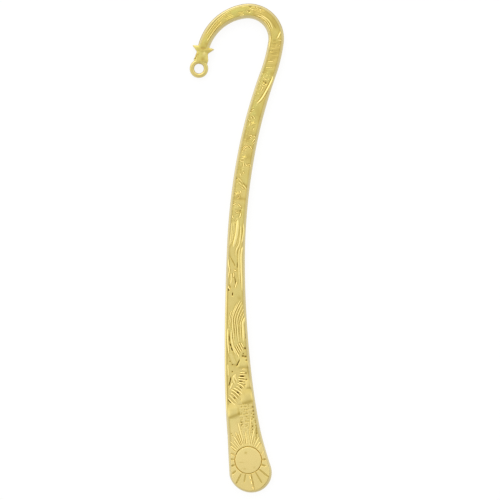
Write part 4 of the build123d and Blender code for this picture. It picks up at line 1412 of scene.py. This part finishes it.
class BOOKMARK_OT_sun(bpy.types.Operator):
    """Models the sun's plain disc, its rays and its petals"""

    bl_idname = "bookmark.sun"
    bl_label = "Sun"

    def inset_lid(self, piece):
        """Adds one more ring of faces inside the piece's round lid."""
        edit(lambda: bpy.ops.mesh.select_all(action="DESELECT"))
        lids = [face for face in piece.data.polygons if len(face.vertices) > 20 and face.normal.z > 0.9]
        lids[0].select = True
        bpy.ops.object.mode_set(mode="EDIT")
        bpy.ops.mesh.select_mode(type="FACE")
        bpy.ops.mesh.inset(thickness=DISC_RING_STEP * MM)
        bpy.ops.object.mode_set(mode="OBJECT")

    def disc(self, top):
        """The plain disc, domed a little and faintly marked."""
        turns = np.linspace(0.0, 2 * pi, DISC_CORNERS, endpoint=False)
        rim = place(SUN_PLACE + SUN_RADIUS * np.cos(turns), SUN_RADIUS * np.sin(turns), top)
        piece = plaque(rim, top - DISC_SINK, top + DISC_RISE, DISC_EDGE, segments=4)
        for _ in range(DISC_RINGS):
            self.inset_lid(piece)
        edit(face_outwards)
        points = points_of(piece)
        reach = np.linalg.norm(points[:, :2] - place(SUN_PLACE, 0.0, top)[:2], axis=1) / (SUN_RADIUS * MM)
        lid = points[:, 2] > (top + DISC_LID) * MM
        points[lid, 2] += DISC_DOME * MM * (1 - reach[lid] ** 2)
        move_points(piece, points)
        wear = np.full(len(points), DISC_TONE)
        for s, v, long, wide, depth in DISC_MARKS:
            gap = (points[:, :2] - place(s, v, 0.0)[:2]) / MM
            wear -= depth * oval(gap[:, 1], gap[:, 0], long, wide)
        # Painted shade on the disc's foot, in the groove round it, by the angle
        up, out = on_plate(points, SUN_PLACE)
        foot = points[:, 2] < (top + DISC_FOOT) * MM
        mark(piece, wear=np.where(foot, DISC_GROOVE * ring_tone(up - SUN_PLACE, out), wear))
        finish_piece(piece, "sun_disc", "sun_disc", angle=35)

    def reach(self, turn):
        """How far a petal can reach from the sun in this direction."""
        far = SUN_RADIUS + PETAL_LEAST
        while far < PETAL_MOST:
            s = SUN_PLACE + far * cos(turn)
            v = far * sin(turn)
            room = half_width(s) - abs(v) if s > 0 else FOOT_RADIUS - sqrt(s * s + v * v)
            if room < PETAL_MARGIN:
                break
            far += PETAL_TRIM
        return far

    def flank(self, turn, opens, closes, sign):
        """One side of a petal, as reaches and turns, drawn back where the groove beside it is open."""
        angle = radians(turn)
        r = np.linspace(SUN_RADIUS + PETAL_GAP, self.reach(angle), PETAL_STEPS)
        groove = GROOVE_LEAST + GROOVE_SIDE * abs(sin(angle))
        gap = groove * within(opens - GROOVE_BEFORE, closes + GROOVE_AFTER, GROOVE_SOFT, r) - PETAL_OVERLAP
        return list(zip(r, angle + sign * gap / r))

    def petal(self, start, end, top):
        """One petal between two grooves, higher at the sides of the sun than over or under it."""
        side = max(0.0, 2 * abs(sin(radians((start[0] + end[0]) / 2))) - 1)
        first = self.flank(*start, 1)
        last = self.flank(*end, -1)
        arc = [(self.reach(turn), turn) for turn in np.linspace(first[-1][1], last[-1][1], 6)[1:-1]]
        bow = [(first[0][0], turn) for turn in np.linspace(last[0][1], first[0][1], 5)[1:-1]]
        r, turn = np.array(first + arc + last[::-1] + bow).T
        rim = place(SUN_PLACE + r * np.cos(turn), r * np.sin(turn), top)
        high = top + PETAL_RISE + PETAL_SIDE_RISE * side
        return plaque(rim, top - PETAL_SINK, high, PETAL_EDGE + PETAL_SIDE_EDGE * side, segments=3)

    def petals(self, top):
        """The petals round the lower part of the sun, run together at their roots."""
        piece = join([self.petal(start, end, top) for start, end in zip(PETAL_GROOVES, PETAL_GROOVES[1:])])
        melt(piece, *PETAL_SKIN)
        # Painted shade at the petals' feet, fading out on their tops
        mark_crests(piece, top, *PETAL_SHADING)
        edit(face_outwards)
        finish_piece(piece, "sun_petals", "sun_petals", angle=50)

    def execute(self, context):
        top = context.scene.bookmark_sizes.thickness / MM
        self.disc(top)
        self.petals(top)
        lay_strokes(context, "sun_rays")
        return {"FINISHED"}


class BOOKMARK_OT_clouds(bpy.types.Operator):
    """Models the two banks of cloud and the fan of curls over them"""

    bl_idname = "bookmark.clouds"
    bl_label = "Clouds"

    def bank(self, top, s, v, long, wide, tall):
        """One bank: a flattened ball, steep at its foot, soft above and kept on the plate."""
        bank = ball_blank(*CLOUD_BLANK)
        x, y, z = points_of(bank).T
        stretch = np.minimum(np.hypot(x, y) / squared(x, y, CLOUD_SQUARENESS), 1.5)
        softness = 1.5 + 1.7 * ease(-0.6, 0.5, x)
        up = s + long * stretch * x * np.where(x > 0, tall, 1.0)
        room = half_width(up) - CLOUD_MARGIN
        out = np.clip(v + wide * stretch * y, -room, room)
        crest = CLOUD_RISE * np.abs(z) ** softness * ease(0.0, 0.5, room - np.abs(out))
        move_points(bank, place(up, out, top - CLOUD_SEATING + np.where(z > 0, crest, CLOUD_SINK * z)))
        return bank

    def execute(self, context):
        top = context.scene.bookmark_sizes.thickness / MM
        piece = join([self.bank(top, *bank) for bank in CLOUD_BANKS])
        melt(piece, *CLOUD_SKIN)
        up, out = on_plate(points_of(piece), CLOUD_PLACE)
        # Painted shade, darkest along the foot of each bank, fainter down the left bank's inner side and over
        # both tops
        base = np.where(out < 0, 14.15 + 0.3 * (out + 2.8), 17.25 + 0.15 * (out - 0.3))
        flank = line(out + 0.65, 0.35) * ease(14.2, 14.8, up) * (1 - ease(16.0, 17.0, up))
        painted_shade = 0.06 + 0.36 * line(up - base, 0.5) + 0.2 * flank + 0.12 * ease(1.7, 2.7, up - base)
        mark(piece, wear=-painted_shade)
        finish_piece(piece, "clouds", "clouds", angle=60)
        lay_strokes(context, "cloud_curls")
        return {"FINISHED"}


class BOOKMARK_OT_wind(bpy.types.Operator):
    """Models the plume, the sweeps and the ribbons that climb the stem"""

    bl_idname = "bookmark.wind"
    bl_label = "Wind"

    def execute(self, context):
        lay_strokes(context, "wind_plume", "wind_sweeps", "ribbons")
        return {"FINISHED"}


class BOOKMARK_OT_night(bpy.types.Operator):
    """Models the chevrons, small stars, crescent and beads of the upper stem"""

    bl_idname = "bookmark.night"
    bl_label = "Night sky"

    def stars(self, top):
        """The small stars, with their edges eased."""
        piece = join([facet_star(s, v, radius, SMALL_WAIST, low=top - SMALL_SINK, rim=top + SMALL_RISE,
                                 peak=SMALL_PEAK) for s, v, radius in SMALL_STARS])
        apply_modifier(piece, "BEVEL", width=SMALL_EDGE * MM, segments=2, limit_method="ANGLE",
                       angle_limit=radians(12))
        # Painted shade over the small stars, a little lighter on their tops
        mark_crests(piece, top, *SMALL_SHADING)
        finish_piece(piece, "small_stars", "small_stars", angle=40)

    def beads(self, top):
        """The beads beside the crescent, in rows that lengthen upwards, small and large by turns."""
        blank = ball_blank(*BEAD_BLANK)
        copies = []
        for row in range(BEAD_ROWS):
            for column in range(2 + row // 2):
                s = BEAD_START[0] + BEAD_STEP[0] * row + BEAD_STAGGER * (column % 2)
                v = BEAD_START[1] + BEAD_STEP[1] * column
                copies.append(copy_of(blank))
                ball = points_of(blank) * BEAD_SIZES[(row + column) % 2] * (1.0, 1.0, BEAD_FLATNESS)
                move_points(copies[-1], place(s + ball[:, 0], v + ball[:, 1], top - SEATING + ball[:, 2]))
        bpy.data.objects.remove(blank)
        piece = join(copies)
        # Painted shade at the beads' feet and a painted highlight on their tops
        mark_crests(piece, top, *BEAD_SHADING)
        finish_piece(piece, "moon_beads", "moon_beads", angle=60)

    def execute(self, context):
        top = context.scene.bookmark_sizes.thickness / MM
        lay_strokes(context, "chevrons", "crescent_moon")
        self.stars(top)
        self.beads(top)
        return {"FINISHED"}


class BOOKMARK_OT_crown(bpy.types.Operator):
    """Models the neck's ripples, the crown's rim and curls, and the trail into the star"""

    bl_idname = "bookmark.crown"
    bl_label = "Crown"

    def execute(self, context):
        lay_strokes(context, "neck_ripples", "crown_rim", "crown_curls", "comet_trail")
        return {"FINISHED"}


class BOOKMARK_OT_stage(bpy.types.Operator):
    """Sets the pale floor, the soft light and the camera over the bookmark"""

    bl_idname = "bookmark.stage"
    bl_label = "Stage"

    def floor(self):
        """White paper that looks evenly lit and still takes a faint shadow."""
        clear()
        bpy.ops.mesh.primitive_plane_add(size=FLOOR_SIZE, location=(0.0, 0.0, -FLOOR_GAP))
        floor = bpy.context.object
        floor.name = "floor"
        paper = bpy.data.materials.new("white paper")
        paper.use_nodes = True
        tree = paper.node_tree
        tree.nodes.clear()
        path = tree.nodes.new("ShaderNodeLightPath")
        camera, glossy, through = (Wire(tree, path.outputs[f"Is {ray} Ray"])
                                   for ray in ("Camera", "Glossy", "Transmission"))
        matt = add_node(tree, "ShaderNodeBsdfDiffuse", {}, {"Color": PAPER})
        white = add_node(tree, "ShaderNodeEmission", {}, {"Color": WHITE})
        share = ((camera + glossy + through) * PAPER_GLOW).clamped()
        both = add_node(tree, "ShaderNodeMixShader", {}, {0: share, 1: matt, 2: white})
        output = tree.nodes.new("ShaderNodeOutputMaterial")
        tree.links.new(both.socket, output.inputs["Surface"])
        floor.data.materials.append(paper)

    def sky(self, scene):
        """A soft sky, brighter towards the crook and the left, dimmer overhead and white to the camera."""
        world = bpy.data.worlds.new("soft sky")
        scene.world = world
        world.use_nodes = True
        tree = world.node_tree
        tree.nodes.clear()
        way = add_node(tree, "ShaderNodeTexCoord", {}, {}, "Generated")
        parts = tree.nodes.new("ShaderNodeSeparateXYZ")
        tree.links.new(way.socket, parts.inputs[0])
        x, y, z = (Wire(tree, output) for output in parts.outputs)
        glow = SKY_LEVEL - z * z * SKY_OVERHEAD - x * SKY_RIGHT + y * SKY_UP
        seen = add_node(tree, "ShaderNodeLightPath", {}, {}, "Is Camera Ray")
        level = glow * (1.0 - seen) + seen
        light = add_node(tree, "ShaderNodeBackground", {}, {"Color": WHITE, "Strength": level})
        output = tree.nodes.new("ShaderNodeOutputWorld")
        tree.links.new(light.socket, output.inputs["Surface"])

    def execute(self, context):
        scene = context.scene
        stage = scene.bookmark_stage
        scene.view_settings.view_transform = "Standard"
        self.floor()
        self.sky(scene)
        aim = Vector((*(FOOT[:2] + AIM) * MM, scene.bookmark_sizes.thickness))
        clear()
        bpy.ops.object.light_add(type="AREA", location=(aim.x + LAMP[0], aim.y + LAMP[1], LAMP[2]))
        key = context.object
        key.name = "key lamp"
        key.data.energy = stage.key_power
        key.data.size = LAMP_SIZE
        key.rotation_euler = (aim - key.location).to_track_quat("-Z", "Y").to_euler()
        distance = stage.view_width / SENSOR * stage.lens
        bpy.ops.object.camera_add(location=(aim.x, aim.y, aim.z + distance), rotation=(0.0, 0.0, 0.0))
        camera = context.object
        camera.data.sensor_width = SENSOR
        camera.data.lens = stage.lens
        camera.data.clip_start = CLIP_START
        scene.camera = camera
        return {"FINISHED"}


PIECES = ("crook", "ring", "star", "sun", "clouds", "wind", "night", "crown", "stage")


class BOOKMARK_PT_panel(bpy.types.Panel):
    """Lists the bookmark's sizes, finish and pieces"""

    bl_idname = "BOOKMARK_PT_panel"
    bl_label = "Hook bookmark"
    bl_space_type = "VIEW_3D"
    bl_region_type = "UI"
    bl_category = "Bookmark"

    def draw(self, context):
        scene = context.scene
        for group in (scene.bookmark_sizes, scene.bookmark_finish, scene.bookmark_stage):
            box = self.layout.box()
            for name in group.bl_rna.properties.keys():
                if name not in ("rna_type", "name"):
                    box.prop(group, name)
        for name in PIECES:
            self.layout.operator(f"bookmark.{name}")


CLASSES = (
    CrookSizes,
    GoldFinish,
    StageSettings,
    BOOKMARK_OT_crook,
    BOOKMARK_OT_ring,
    BOOKMARK_OT_star,
    BOOKMARK_OT_sun,
    BOOKMARK_OT_clouds,
    BOOKMARK_OT_wind,
    BOOKMARK_OT_night,
    BOOKMARK_OT_crown,
    BOOKMARK_OT_stage,
    BOOKMARK_PT_panel,
)


def register():
    """Registers the classes and hangs their settings on the scene."""
    for cls in CLASSES:
        bpy.utils.register_class(cls)
    bpy.types.Scene.bookmark_sizes = PointerProperty(type=CrookSizes)
    bpy.types.Scene.bookmark_finish = PointerProperty(type=GoldFinish)
    bpy.types.Scene.bookmark_stage = PointerProperty(type=StageSettings)


def unregister():
    """Takes the settings and the classes away again."""
    for name in ("bookmark_sizes", "bookmark_finish", "bookmark_stage"):
        delattr(bpy.types.Scene, name)
    for cls in reversed(CLASSES):
        bpy.utils.unregister_class(cls)


def main():
    """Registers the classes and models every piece."""
    register()
    for name in PIECES:
        getattr(bpy.ops.bookmark, name)()


if __name__ == "__main__":
    main()
